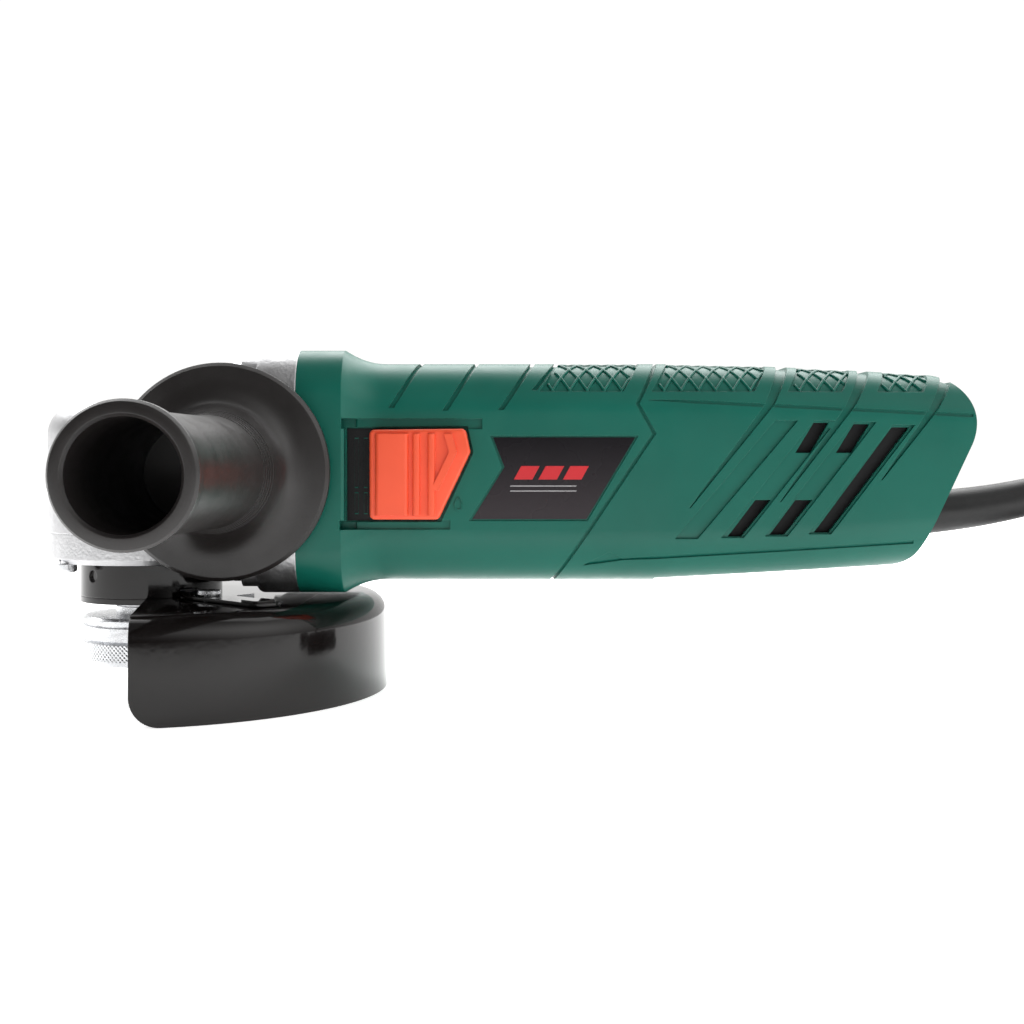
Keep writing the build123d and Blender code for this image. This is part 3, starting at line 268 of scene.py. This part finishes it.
# pitches and radii of the patterns in the finishes, in metres
TURNING_PITCH = 0.00035
SHEET_PITCH = 0.0005
WIRE_PITCH = 0.0007
KNURL_PITCH = 0.0013
KNURL_TEETH = 96.0
NUT_RIM_R = 0.0197


def moulded_plastic(
    name, colour, rough, grain=2600.0, depth=0.000018, worn=1.6, radius=0.00035, **constants
):
    """Spark-eroded moulded plastic: fine grain, slightly cloudy gloss and rubbed edges."""
    n = Nodes(name)
    soft, edge = n.edges(radius)
    cloud = n.noise(38.0, 4.0)
    base = n.mix(n.remap(cloud, 0.3, 0.7, 0.0, 1.0), shade(colour, 0.93), shade(colour, 1.07))
    base = n.mix(n.math("MULTIPLY", edge, 0.35), base, shade(colour, worn))
    gloss = n.remap(n.noise(150.0, 5.0), 0.3, 0.7, rough - 0.04, rough + 0.05)
    grain_height = n.math("ADD", n.cells(grain), n.math("MULTIPLY", n.noise(grain * 0.6, 2.0), 0.6))
    return n.finish(base, gloss, n.bump(grain_height, depth, 0.55, soft), **constants)


def glossy_paint(name, colour):
    """Gloss enamel on pressed steel, with a trace of orange peel and dust."""
    n = Nodes(name)
    soft, edge = n.edges(0.0005)
    dust = n.remap(n.noise(900.0, 6.0, 0.7), 0.62, 0.8, 0.0, 0.25)
    base = n.mix(dust, colour, shade(colour, 3.0))
    base = n.mix(n.math("MULTIPLY", edge, 0.25), base, shade(colour, 4.0))
    gloss = n.remap(n.noise(60.0, 4.0), 0.3, 0.75, 0.05, 0.13)
    peel = n.bump(n.noise(420.0, 1.0), 0.00003, 0.35, soft)
    return n.finish(base, gloss, peel, Specular_IOR_Level=0.36)


def cast_metal(name, colour):
    """Die-cast aluminium: shot-blasted skin with soft flow marks."""
    n = Nodes(name)
    soft, edge = n.edges(0.0006)
    flow = n.noise(45.0, 5.0, 0.6)
    base = n.mix(n.remap(flow, 0.3, 0.7, 0.0, 1.0), shade(colour, 0.88), colour)
    base = n.mix(n.math("MULTIPLY", edge, 0.5), base, shade(colour, 1.15))
    gloss = n.remap(n.noise(300.0, 4.0), 0.3, 0.7, 0.36, 0.5)
    skin = n.math("ADD", n.noise(1400.0, 3.0), n.math("MULTIPLY", n.cells(1100.0), 0.7))
    return n.finish(base, gloss, n.bump(skin, 0.00008, 0.7, soft), Metallic=1.0)


def turned_metal(name, colour, rough, knurl=False):
    """Zinc-plated steel with fine turning lines about the spindle."""
    n = Nodes(name)
    soft, edge = n.edges(0.0003)
    x, y, z = n.split()
    radius = n.math("SQRT", n.math("ADD", n.math("MULTIPLY", x, x), n.math("MULTIPLY", y, y)))
    lines = n.math("SINE", n.math("MULTIPLY", n.math("ADD", radius, z), 2 * math.pi / TURNING_PITCH))
    uneven = n.math("MULTIPLY", lines, n.remap(n.noise(220.0, 3.0), 0.3, 0.7, 0.3, 1.0))
    base = n.mix(n.remap(n.noise(90.0, 4.0), 0.3, 0.7, 0.0, 1.0), shade(colour, 0.85), colour)
    base = n.mix(n.math("MULTIPLY", edge, 0.4), base, shade(colour, 1.15))
    gloss = n.remap(n.noise(500.0, 4.0), 0.3, 0.7, rough - 0.05, rough + 0.08)
    normal = n.bump(uneven, 0.000012, 0.8, soft)
    if knurl:
        angle = n.math("ARCTAN2", y, x)
        around = n.math("SINE", n.math("MULTIPLY", angle, KNURL_TEETH))
        along = n.math("SINE", n.math("MULTIPLY", z, 2 * math.pi / KNURL_PITCH))
        rim = n.remap(radius, NUT_RIM_R - 0.0003, NUT_RIM_R, 0.0, 1.0)
        dots = n.math("MULTIPLY", n.math("MULTIPLY", around, along), rim)
        normal = n.bump(dots, 0.00012, 0.9, normal)
    return n.finish(base, gloss, normal, Metallic=1.0)


def plain_metal(name, colour, rough, grain=900.0):
    """Bright or ground steel with fine random scratches."""
    n = Nodes(name)
    soft, edge = n.edges(0.0003)
    stretch = n.add("ShaderNodeMapping")
    stretch.inputs["Scale"].default_value = (1.0, 1.0, 9.0)
    n.link(n.place, stretch.inputs["Vector"])
    n.place = stretch.outputs["Vector"]
    base = n.mix(n.noise(70.0, 4.0), shade(colour, 0.85), shade(colour, 1.05))
    base = n.mix(n.math("MULTIPLY", edge, 0.4), base, shade(colour, 1.25))
    gloss = n.remap(n.noise(grain, 3.0), 0.3, 0.7, rough - 0.06, rough + 0.08)
    return n.finish(base, gloss, n.bump(n.noise(grain * 2, 2.0), 0.00001, 0.5, soft), Metallic=1.0)


def laminated(name, colour):
    """A stack of thin electrical-steel sheets along the motor axis."""
    n = Nodes(name)
    x = n.split()[0]
    sheets = n.math("SINE", n.math("MULTIPLY", x, 2 * math.pi / SHEET_PITCH))
    base = n.mix(n.remap(sheets, -1.0, 1.0, 0.0, 1.0), shade(colour, 0.6), colour)
    gloss = n.remap(n.noise(200.0), 0.3, 0.7, 0.4, 0.6)
    return n.finish(base, gloss, n.bump(sheets, 0.00005, 0.6), Metallic=0.9)


def wound_copper(name, colour):
    """Enamelled wire, wound side by side."""
    n = Nodes(name)
    x, _, z = n.split()
    along = n.math("ADD", x, n.math("MULTIPLY", z, 0.25))
    turns = n.math("SINE", n.math("MULTIPLY", along, 2 * math.pi / WIRE_PITCH))
    base = n.mix(n.remap(turns, -1.0, 1.0, 0.0, 1.0), shade(colour, 0.4), colour)
    gloss = n.remap(n.noise(120.0), 0.3, 0.7, 0.25, 0.4)
    return n.finish(base, gloss, n.bump(turns, 0.00012, 0.8), Metallic=0.7)


def cord_rubber(name, colour, rough=0.42):
    """Extruded rubber sheath: satin, slightly dusty, with a fine grained skin."""
    n = Nodes(name)
    dust = n.remap(n.noise(260.0, 6.0, 0.65), 0.45, 0.8, 0.0, 0.5)
    base = n.mix(dust, colour, shade(colour, 2.2))
    gloss = n.remap(n.noise(90.0, 4.0), 0.3, 0.7, rough - 0.06, rough + 0.1)
    skin = n.math("ADD", n.noise(1500.0, 3.0), n.cells(2200.0))
    return n.finish(base, gloss, n.bump(skin, 0.00003, 0.5), Specular_IOR_Level=0.45)


def felt(name, colour):
    """Pressed felt."""
    n = Nodes(name)
    fibre = n.noise(1800.0, 8.0, 0.8)
    base = n.mix(fibre, shade(colour, 0.6), shade(colour, 1.3))
    return n.finish(base, 0.95, n.bump(fibre, 0.0002, 0.9), Sheen_Weight=0.3)


def printed_film(name, colour, lit_low_colour):
    """The dark film of the label, with painted light from below: a little lighter towards its lower
    edge.
    """
    n = Nodes(name)
    z = n.split()[2]
    # painted light: the film is made lighter towards its lower edge, as if lit from below
    lower_light_mask = n.remap(z, (AXIS_Z - 12) * MM, (AXIS_Z + 9) * MM, 1.0, 0.0)
    base = n.mix(lower_light_mask, colour, lit_low_colour)
    gloss = n.remap(n.noise(60.0, 3.0), 0.3, 0.7, 0.24, 0.3)
    return n.finish(base, gloss, n.bump(n.noise(2400.0, 2.0), 0.000006, 0.3), Specular_IOR_Level=0.2)


GREEN = rgba(0.005, 0.124, 0.090)
FINISH = {
    "housing_plastic": moulded_plastic("housing_green", GREEN, 0.33, Specular_IOR_Level=0.32),
    "switch_plastic": moulded_plastic(
        "switch_red", rgba(0.95, 0.105, 0.040), 0.34, 3000.0, 0.00001, 1.2,
    ),
    "handle_plastic": moulded_plastic(
        "handle_black", rgba(0.016, 0.0138, 0.0135), 0.34, 1800.0, 0.00002, 1.8,
    ),
    "black_plastic": moulded_plastic(
        "inner_black", rgba(0.008, 0.008, 0.009), 0.5, 1800.0, 0.00003, 2.0, Specular_IOR_Level=0.3,
    ),
    "guard_steel": glossy_paint("guard_enamel", rgba(0.0065, 0.0052, 0.0050)),
    "cast_aluminium": cast_metal("cast_aluminium", rgba(0.60, 0.60, 0.61)),
    "zinc_steel": turned_metal("zinc_steel", rgba(0.78, 0.79, 0.81), 0.24),
    "knurled_steel": turned_metal("knurled_zinc", rgba(0.80, 0.81, 0.83), 0.26, knurl=True),
    "hard_steel": plain_metal("ground_steel", rgba(0.55, 0.55, 0.57), 0.28),
    "bearing_steel": plain_metal("bearing_steel", rgba(0.70, 0.70, 0.72), 0.14),
    "bronze": plain_metal("sintered_bronze", rgba(0.55, 0.37, 0.17), 0.38),
    "pin_metal": plain_metal("nickelled_pins", rgba(0.74, 0.70, 0.60), 0.2),
    "copper": wound_copper("enamelled_copper", rgba(0.62, 0.26, 0.10)),
    "lamination_steel": laminated("laminations", rgba(0.36, 0.36, 0.38)),
    "carbon": cord_rubber("carbon_brush", rgba(0.02, 0.02, 0.021), 0.5),
    "cord_rubber": cord_rubber("cord_rubber", rgba(0.012, 0.0115, 0.012)),
    "felt": felt("felt", rgba(0.28, 0.26, 0.23)),
    # the label film's second colour is a painted lighter tone for its lower edge, standing in for
    # light from below
    "label_film": printed_film("label_film", rgba(0.006, 0.005, 0.007), rgba(0.040, 0.033, 0.037)),
    "label_red": moulded_plastic(
        "label_red", rgba(0.62, 0.02, 0.028), 0.3, 3000.0, 0.000005, 1.1, 0.0001,
    ),
    "label_grey": moulded_plastic(
        "label_grey", rgba(0.34, 0.33, 0.34), 0.3, 3000.0, 0.000005, 1.1, 0.0001,
    ),
}
OWN_FINISH = {"lock_nut": "knurled_steel"}


def smooth_by_angle():
    """A node group that joins a mesh's corners and smooths every edge flatter than SMOOTH_ANGLE."""
    tree = bpy.data.node_groups.new("smooth_by_angle", "GeometryNodeTree")
    tree.interface.new_socket("Geometry", in_out="INPUT", socket_type="NodeSocketGeometry")
    tree.interface.new_socket("Geometry", in_out="OUTPUT", socket_type="NodeSocketGeometry")
    nodes, link = tree.nodes, tree.links.new
    source = nodes.new("NodeGroupInput")
    drop = nodes.new("GeometryNodeRemoveAttribute")
    drop.inputs["Name"].default_value = "custom_normal"
    merge = nodes.new("GeometryNodeMergeByDistance")
    merge.inputs["Distance"].default_value = MERGE_DISTANCE
    faces = nodes.new("GeometryNodeSetShadeSmooth")
    faces.domain = "FACE"
    angle = nodes.new("GeometryNodeInputMeshEdgeAngle")
    sharp = nodes.new("ShaderNodeMath")
    sharp.operation = "GREATER_THAN"
    sharp.inputs[1].default_value = SMOOTH_ANGLE
    edges = nodes.new("GeometryNodeSetShadeSmooth")
    edges.domain = "EDGE"
    edges.inputs["Shade Smooth"].default_value = False
    result = nodes.new("NodeGroupOutput")
    link(source.outputs[0], drop.inputs["Geometry"])
    link(drop.outputs["Geometry"], merge.inputs["Geometry"])
    link(merge.outputs["Geometry"], faces.inputs["Geometry"])
    link(angle.outputs["Unsigned Angle"], sharp.inputs[0])
    link(sharp.outputs[0], edges.inputs["Selection"])
    link(faces.outputs["Geometry"], edges.inputs["Geometry"])
    link(edges.outputs["Geometry"], result.inputs[0])
    return tree


def dress_nodes():
    """Give each CAD node its finish, and smooth shading broken at the hard edges."""
    slots = {part["node"]: part["material_slot"] for part in frame["record"]["subparts"]}
    smoothing = smooth_by_angle()
    for name, node in frame["nodes"].items():
        finish = FINISH[OWN_FINISH.get(name, slots[name])]
        node.data.materials.clear()
        node.data.materials.append(finish)
        node.modifiers.new("smooth_by_angle", "NODES").node_group = smoothing


# ---- mesh helpers ---------------------------------------------------------------------------


def new_object(name, mesh_or_curve, finish):
    """A piece on the tool's body, with its finish and material slot."""
    piece = bpy.data.objects.new(name, mesh_or_curve)
    bpy.context.scene.collection.objects.link(piece)
    mesh_or_curve.materials.append(FINISH[finish])
    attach(piece, "body")
    return piece


def smooth(mesh):
    for polygon in mesh.polygons:
        polygon.use_smooth = True
    return mesh


def skin(bm, rings):
    """Faces between neighbouring closed rings of vertices."""
    for a, b in zip(rings, rings[1:]):
        for i in range(len(a)):
            j = (i + 1) % len(a)
            bm.faces.new((a[i], a[j], b[j], b[i]))


def mesh_from(name, build):
    """A mesh made by a function that fills a bmesh, in millimetres."""
    bm = bmesh.new()
    build(bm)
    bmesh.ops.recalc_face_normals(bm, faces=bm.faces)
    bmesh.ops.scale(bm, vec=(MM, MM, MM), verts=bm.verts)
    mesh = bpy.data.meshes.new(name)
    bm.to_mesh(mesh)
    bm.free()
    return mesh


def between(table, x, column):
    """A value of the body table at X, on straight lines between its rows."""
    for before, after in zip(table, table[1:]):
        if x <= after[0]:
            t = max(0.0, (x - before[0]) / (after[0] - before[0]))
            return before[column] + (after[column] - before[column]) * t
    return table[-1][column]


# ---- grip pattern ---------------------------------------------------------------------------


def shoulder_point(x, s):
    """A point on the body's top and its outward direction: s runs from 0 at the lower edge of the
    near grip field, over the top, to 1 at the lower edge of the far one."""
    half_w, top, radius = (between(BODY, x, column) for column in (1, 2, 3))
    centre_z = top - radius
    low = math.asin(min(1.0, (PAD_BOTTOM - centre_z) / radius))
    arc = radius * (math.pi / 2 - low)
    flat = 2 * (half_w - radius)
    along = s * (2 * arc + flat)
    side = -1
    if along > arc + flat / 2:
        along = 2 * arc + flat - along
        side = 1
    if along < arc:
        angle = low + along / radius
        y = half_w - radius + radius * math.cos(angle)
        z = centre_z + radius * math.sin(angle)
        normal = Vector((0, side * math.cos(angle), math.sin(angle)))
    else:
        y = half_w - radius - (along - arc)
        z = top
        normal = Vector((0, 0, 1))
    return Vector((x, side * y, z + AXIS_Z)), normal


def pad_ends(pad, s):
    """The front and rear X of a grip field at s."""
    z = shoulder_point(sum(pad) / 2, s)[0].z - AXIS_Z
    shift = PAD_LEAN * max(0.0, 31.0 - z)
    return pad[0] - shift + 0.5, pad[1] - shift - 0.5


def rib(bm, stations):
    """A rib with a rounded top along points on the body's surface, if there are enough of them."""
    if len(stations) < 3:
        return
    rings = []
    for i, (point, normal) in enumerate(stations):
        before = stations[max(0, i - 1)][0]
        after = stations[min(len(stations) - 1, i + 1)][0]
        across = (after - before).cross(normal).normalized()
        ring = []
        for side, rise in ((-1.0, 0.0), (-0.55, 0.8), (0.0, 1.0), (0.55, 0.8), (1.0, 0.0)):
            place = point + across * (side * RIB_HALF_WIDTH) + normal * (rise * PAD_RISE - PAD_DEPTH)
            ring.append(bm.verts.new(place))
        rings.append(ring)
    skin(bm, rings)
    bm.faces.new(rings[0][::-1])
    bm.faces.new(rings[-1])


def grip_net(pad):
    """The crossing ribs of one grip field."""

    def build(bm):
        count = int((pad[1] - pad[0] + RIB_SWEEP + PAD_LEAN * 10) / PAD_SPACING) + 2
        for way in (-1, 1):
            for k in range(count):
                start = pad[0] - RIB_SWEEP - PAD_LEAN * 10 + PAD_SPACING * k
                run = []
                for i in range(RIB_STEPS + 1):
                    s = i / RIB_STEPS
                    x = start + RIB_SWEEP * (s if way > 0 else 1 - s)
                    front, rear = pad_ends(pad, s)
                    if front <= x <= rear:
                        run.append(shoulder_point(x, s))
                    else:
                        rib(bm, run)
                        run = []
                rib(bm, run)

    return build


def add_grip_nets():
    for i, pad in enumerate(PADS):
        name = f"grip_net_{i + 1}"
        new_object(name, smooth(mesh_from(name, grip_net(pad))), "housing_plastic")


# ---- label ----------------------------------------------------------------------------------


def prism(bm, outline, y0, y1):
    """A prism along Y from (X, Z) points."""
    near = [bm.verts.new((x, y0, z + AXIS_Z)) for x, z in outline]
    far = [bm.verts.new((x, y1, z + AXIS_Z)) for x, z in outline]
    bm.faces.new(near)
    bm.faces.new(far[::-1])
    for i in range(len(outline)):
        j = (i + 1) % len(outline)
        bm.faces.new((near[i], far[i], far[j], near[j]))


def slanted_bar(x0, x1, z0, z1, lean):
    return ((x0, z0), (x1, z0), (x1 + lean * (z1 - z0), z1), (x0 + lean * (z1 - z0), z1))


def frame_strip(bm, outline, width, y0, y1):
    """A narrow closed band just inside an outline of (X, Z) points."""
    middle_x = sum(x for x, _ in outline) / len(outline)
    middle_z = sum(z for _, z in outline) / len(outline)
    inner = []
    for x, z in outline:
        length = math.hypot(x - middle_x, z - middle_z)
        keep = 1 - width / length
        inner.append((middle_x + (x - middle_x) * keep, middle_z + (z - middle_z) * keep))
    for i in range(len(outline)):
        j = (i + 1) % len(outline)
        prism(bm, (outline[i], outline[j], inner[j], inner[i]), y0, y1)


def add_mouldings():
    """The egg-shaped ring behind the slider, and a black plate under the slider with its ticks; the
    plate is painted shade, standing in for the shade of a deep recess.
    """

    def oval(bm):
        steps = 40
        ring = []
        for i in range(steps):
            angle = 2 * math.pi * i / steps
            reach = 1.9 + 0.35 * math.sin(angle)
            x = OVAL_CENTRE[0] + OVAL_HALF_WIDTH * math.cos(angle)
            ring.append((x, OVAL_CENTRE[1] + reach * math.sin(angle)))
        frame_strip(bm, ring, OVAL_WIDTH, -HALF_W - 0.28, -HALF_W + 0.1)

    # painted shade: a black sheet over the shallow recess floor, in place of the shade of a deep
    # recess
    def plate(bm):
        prism(bm, slanted_bar(*RECESS_SHADE_PLATE, 0.0), -RECESS_FLOOR - 0.16, -RECESS_FLOOR + 0.1)

    def ticks(bm):
        for x in TICK_STARTS:
            for z0, z1 in TICK_SPANS:
                bar = slanted_bar(x, x + TICK_LENGTH, z0, z1, 0.0)
                frame_strip(bm, bar, 0.3, -RECESS_FLOOR - 0.22, -RECESS_FLOOR - 0.1)

    new_object("oval_mark", mesh_from("oval_mark", oval), "housing_plastic")
    new_object("recess_shade_plate", mesh_from("recess_shade_plate", plate), "black_plastic")
    new_object("recess_ticks", mesh_from("recess_ticks", ticks), "housing_plastic")


def add_label_marks():
    """Plain slanted bars and two lines in place of the printing on both plates."""
    face = HALF_W - 0.1
    for side, place in ((-1, "near"), (1, "far")):
        y0, y1 = sorted((side * (face - 0.05), side * (face + 0.07)))

        def bars(bm):
            for x in BAR_STARTS:
                prism(bm, slanted_bar(x, x + BAR_LENGTH, *BAR_Z, MARK_LEAN), y0, y1)

        def lines(bm):
            for z in LINE_HEIGHTS:
                prism(bm, slanted_bar(*LINE_X, z, z + LINE_THICKNESS, MARK_LEAN), y0, y1)

        new_object(f"label_bars_{place}", mesh_from("bars", bars), "label_red")
        new_object(f"label_lines_{place}", mesh_from("lines", lines), "label_grey")


# ---- cord -----------------------------------------------------------------------------------


def coil_points():
    """Two flat layers of the coil: inwards on the floor, then outwards on top of it."""
    shrink = 0.75 + 0.25 * math.cos(2 * math.pi / COIL_STEPS)
    total = int(COIL_TURNS * COIL_STEPS)
    points = []
    for i in range(1, total):
        turn = i / COIL_STEPS
        half = COIL_TURNS / 2
        inward = min(turn, COIL_TURNS - turn) / half
        radius = (COIL_OUTER_R + (COIL_INNER_R - COIL_OUTER_R) * inward) / shrink
        climb = min(1.0, max(0.0, (turn - half + 0.25) / 0.5))
        angle = math.pi / 2 + 2 * math.pi * turn
        height = FLOOR_Z + CORD_D * climb
        points.append((COIL_X + radius * math.cos(angle), radius * math.sin(angle), height))
    return points


def add_cord():
    route = list(LEAD) + coil_points() + list(TAIL)
    curve = bpy.data.curves.new("power_cord", "CURVE")
    curve.dimensions = "3D"
    curve.resolution_u = 10
    curve.bevel_depth = CORD_D / 2 * MM
    curve.bevel_resolution = 5
    curve.use_fill_caps = True
    spline = curve.splines.new("NURBS")
    spline.points.add(len(route) - 1)
    for point, place in zip(spline.points, route):
        point.co = (place[0] * MM, place[1] * MM, place[2] * MM, 1.0)
    spline.order_u = 3
    spline.use_endpoint_u = True
    spline.use_smooth = True
    cord = new_object("power_cord", curve, "cord_rubber")
    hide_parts("cord_lead", "cord_coil", "cord_tail")
    tie = add_tie()


def add_tie():
    """The strap that holds the coil together."""
    centre = (COIL_INNER_R + COIL_OUTER_R) / 2
    half_w = (COIL_OUTER_R - COIL_INNER_R) / 2 + CORD_D / 2 + 0.3
    half_h = CORD_D + 0.25
    low = REST_Z + half_h

    def build(bm):
        rings = []
        steps = 40
        power = 0.35  # makes the loop squarer than an ellipse
        for i in range(steps):
            angle = 2 * math.pi * i / steps
            u = math.copysign(abs(math.cos(angle)) ** power, math.cos(angle))
            v = math.copysign(abs(math.sin(angle)) ** power, math.sin(angle))
            ring = []
            for width, grow in ((-5, 0.0), (-5, 0.9), (5, 0.9), (5, 0.0)):
                x = COIL_X - centre + u * (half_w + grow)
                z = low + v * (half_h + grow) if v > 0 else low + v * half_h
                ring.append(bm.verts.new((x, width, z)))
            rings.append(ring)
        skin(bm, rings + rings[:1])

    return new_object("cord_tie", smooth(mesh_from("cord_tie", build)), "cord_rubber")


# ---- lock spring ----------------------------------------------------------------------------


def add_lock_spring():
    """The lock button's spring, a wire helix filling the box of the CAD spring it replaces."""
    low, high = (Vector(corner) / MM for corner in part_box("lock_button_spring"))
    middle = (low + high) / 2
    height = high.z - low.z
    reach = (high.x - low.x) / 2 - SPRING_WIRE_R
    rise = height - 2 * SPRING_WIRE_R
    steps = SPRING_STEPS * SPRING_TURNS

    def build(bm):
        rings = []
        for i in range(steps + 1):
            angle = 2 * math.pi * i / SPRING_STEPS
            outward = Vector((math.cos(angle), math.sin(angle), 0))
            spot = Vector((middle.x, middle.y, low.z + SPRING_WIRE_R + rise * i / steps))
            spot += outward * reach
            ring = []
            for k in range(WIRE_SIDES):
                turn = 2 * math.pi * k / WIRE_SIDES
                offset = outward * math.cos(turn) + Vector((0, 0, 1)) * math.sin(turn)
                ring.append(bm.verts.new(spot + offset * SPRING_WIRE_R))
            rings.append(ring)
        skin(bm, rings)
        bm.faces.new(rings[0][::-1])
        bm.faces.new(rings[-1])

    spring = new_object("lock_spring", smooth(mesh_from("lock_spring", build)), "hard_steel")
    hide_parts("lock_button_spring")
    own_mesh(spring)


# ---- stage, light and camera ----------------------------------------------------------------


def light_table(name, colour, rough, glow):
    """The pale top of a table that is lit from below."""
    n = Nodes(name)
    base = n.mix(n.noise(6.0), shade(colour, 0.985), colour)
    return n.finish(base, rough, Emission_Color=rgba(1.0, 1.0, 0.995), Emission_Strength=glow)


def add_stage():
    bm = bmesh.new()
    half = FLOOR_HALF
    corners = ((-half, -half), (half, -half), (half, half), (-half, half))
    bm.faces.new([bm.verts.new((x, y, (REST_Z - 0.05) * MM)) for x, y in corners])
    mesh = bpy.data.meshes.new("floor")
    bm.to_mesh(mesh)
    bm.free()
    mesh.materials.append(light_table("pale_floor", rgba(0.88, 0.88, 0.88), 0.6, FLOOR_GLOW))
    floor = bpy.data.objects.new("floor", mesh)
    bpy.context.scene.collection.objects.link(floor)


def add_area(name, place, target, size, power):
    light = bpy.data.lights.new(name, "AREA")
    light.shape = "RECTANGLE"
    light.size, light.size_y = size
    light.energy = power
    lamp = bpy.data.objects.new(name, light)
    bpy.context.scene.collection.objects.link(lamp)
    lamp.location = place
    lamp.rotation_euler = (Vector(target) - Vector(place)).to_track_quat("-Z", "Y").to_euler()


def studio_world():
    """A pale studio: white behind the tool, dim in front of it, with soft bright patches round it."""
    world = bpy.data.worlds.new("studio")
    world.use_nodes = True
    tree = world.node_tree
    background = tree.nodes["Background"]
    background.inputs["Color"].default_value = rgba(1.0, 0.995, 0.985)
    place = tree.nodes.new("ShaderNodeTexCoord").outputs["Generated"]
    split = tree.nodes.new("ShaderNodeSeparateXYZ")
    tree.links.new(place, split.inputs[0])
    ramp = tree.nodes.new("ShaderNodeMapRange")
    ramp.interpolation_type = "SMOOTHSTEP"
    limits = {"From Min": -0.1, "From Max": 0.6, "To Min": FRONT_DIM, "To Max": BACK_BRIGHT}
    for key, value in limits.items():
        ramp.inputs[key].default_value = value
    tree.links.new(split.outputs["Y"], ramp.inputs["Value"])
    total = ramp.outputs["Result"]
    for direction, tightness, strength in GLOWS:
        dot = tree.nodes.new("ShaderNodeVectorMath")
        dot.operation = "DOT_PRODUCT"
        tree.links.new(place, dot.inputs[0])
        dot.inputs[1].default_value = Vector(direction).normalized()
        last = dot.outputs["Value"]
        for operation, number in (("MAXIMUM", 0.0), ("POWER", tightness), ("MULTIPLY", strength)):
            step = tree.nodes.new("ShaderNodeMath")
            step.operation = operation
            tree.links.new(last, step.inputs[0])
            step.inputs[1].default_value = number
            last = step.outputs[0]
        add = tree.nodes.new("ShaderNodeMath")
        tree.links.new(total, add.inputs[0])
        tree.links.new(last, add.inputs[1])
        total = add.outputs[0]
    tree.links.new(total, background.inputs["Strength"])
    bpy.context.scene.world = world


def add_light():
    studio_world()
    add_area("top_softbox", (0.12, 0.25, 0.95), (0.11, 0.0, 0.06), (1.2, 0.5), 1.8)
    add_area("back_softbox", (0.12, 1.1, 1.1), (0.12, 1.3, 0.0), (3.4, 1.6), 60.0)


def add_camera():
    """Level, side on, a little above the motor axis."""
    camera = bpy.data.cameras.new("camera")
    camera.lens = 49.57
    camera.sensor_width = 36.0
    camera.shift_y = -0.0498
    camera.clip_start = 0.01
    eye = bpy.data.objects.new("camera", camera)
    bpy.context.scene.collection.objects.link(eye)
    eye.location = (0.109, -0.427, (AXIS_Z + 3.0) * MM)
    eye.rotation_euler = (math.pi / 2, 0.0, 0.0)
    bpy.context.scene.camera = eye
    bpy.context.scene.view_settings.view_transform = "Standard"


dress_nodes()
add_grip_nets()
add_label_marks()
add_mouldings()
add_cord()
add_lock_spring()
add_stage()
add_light()
add_camera()
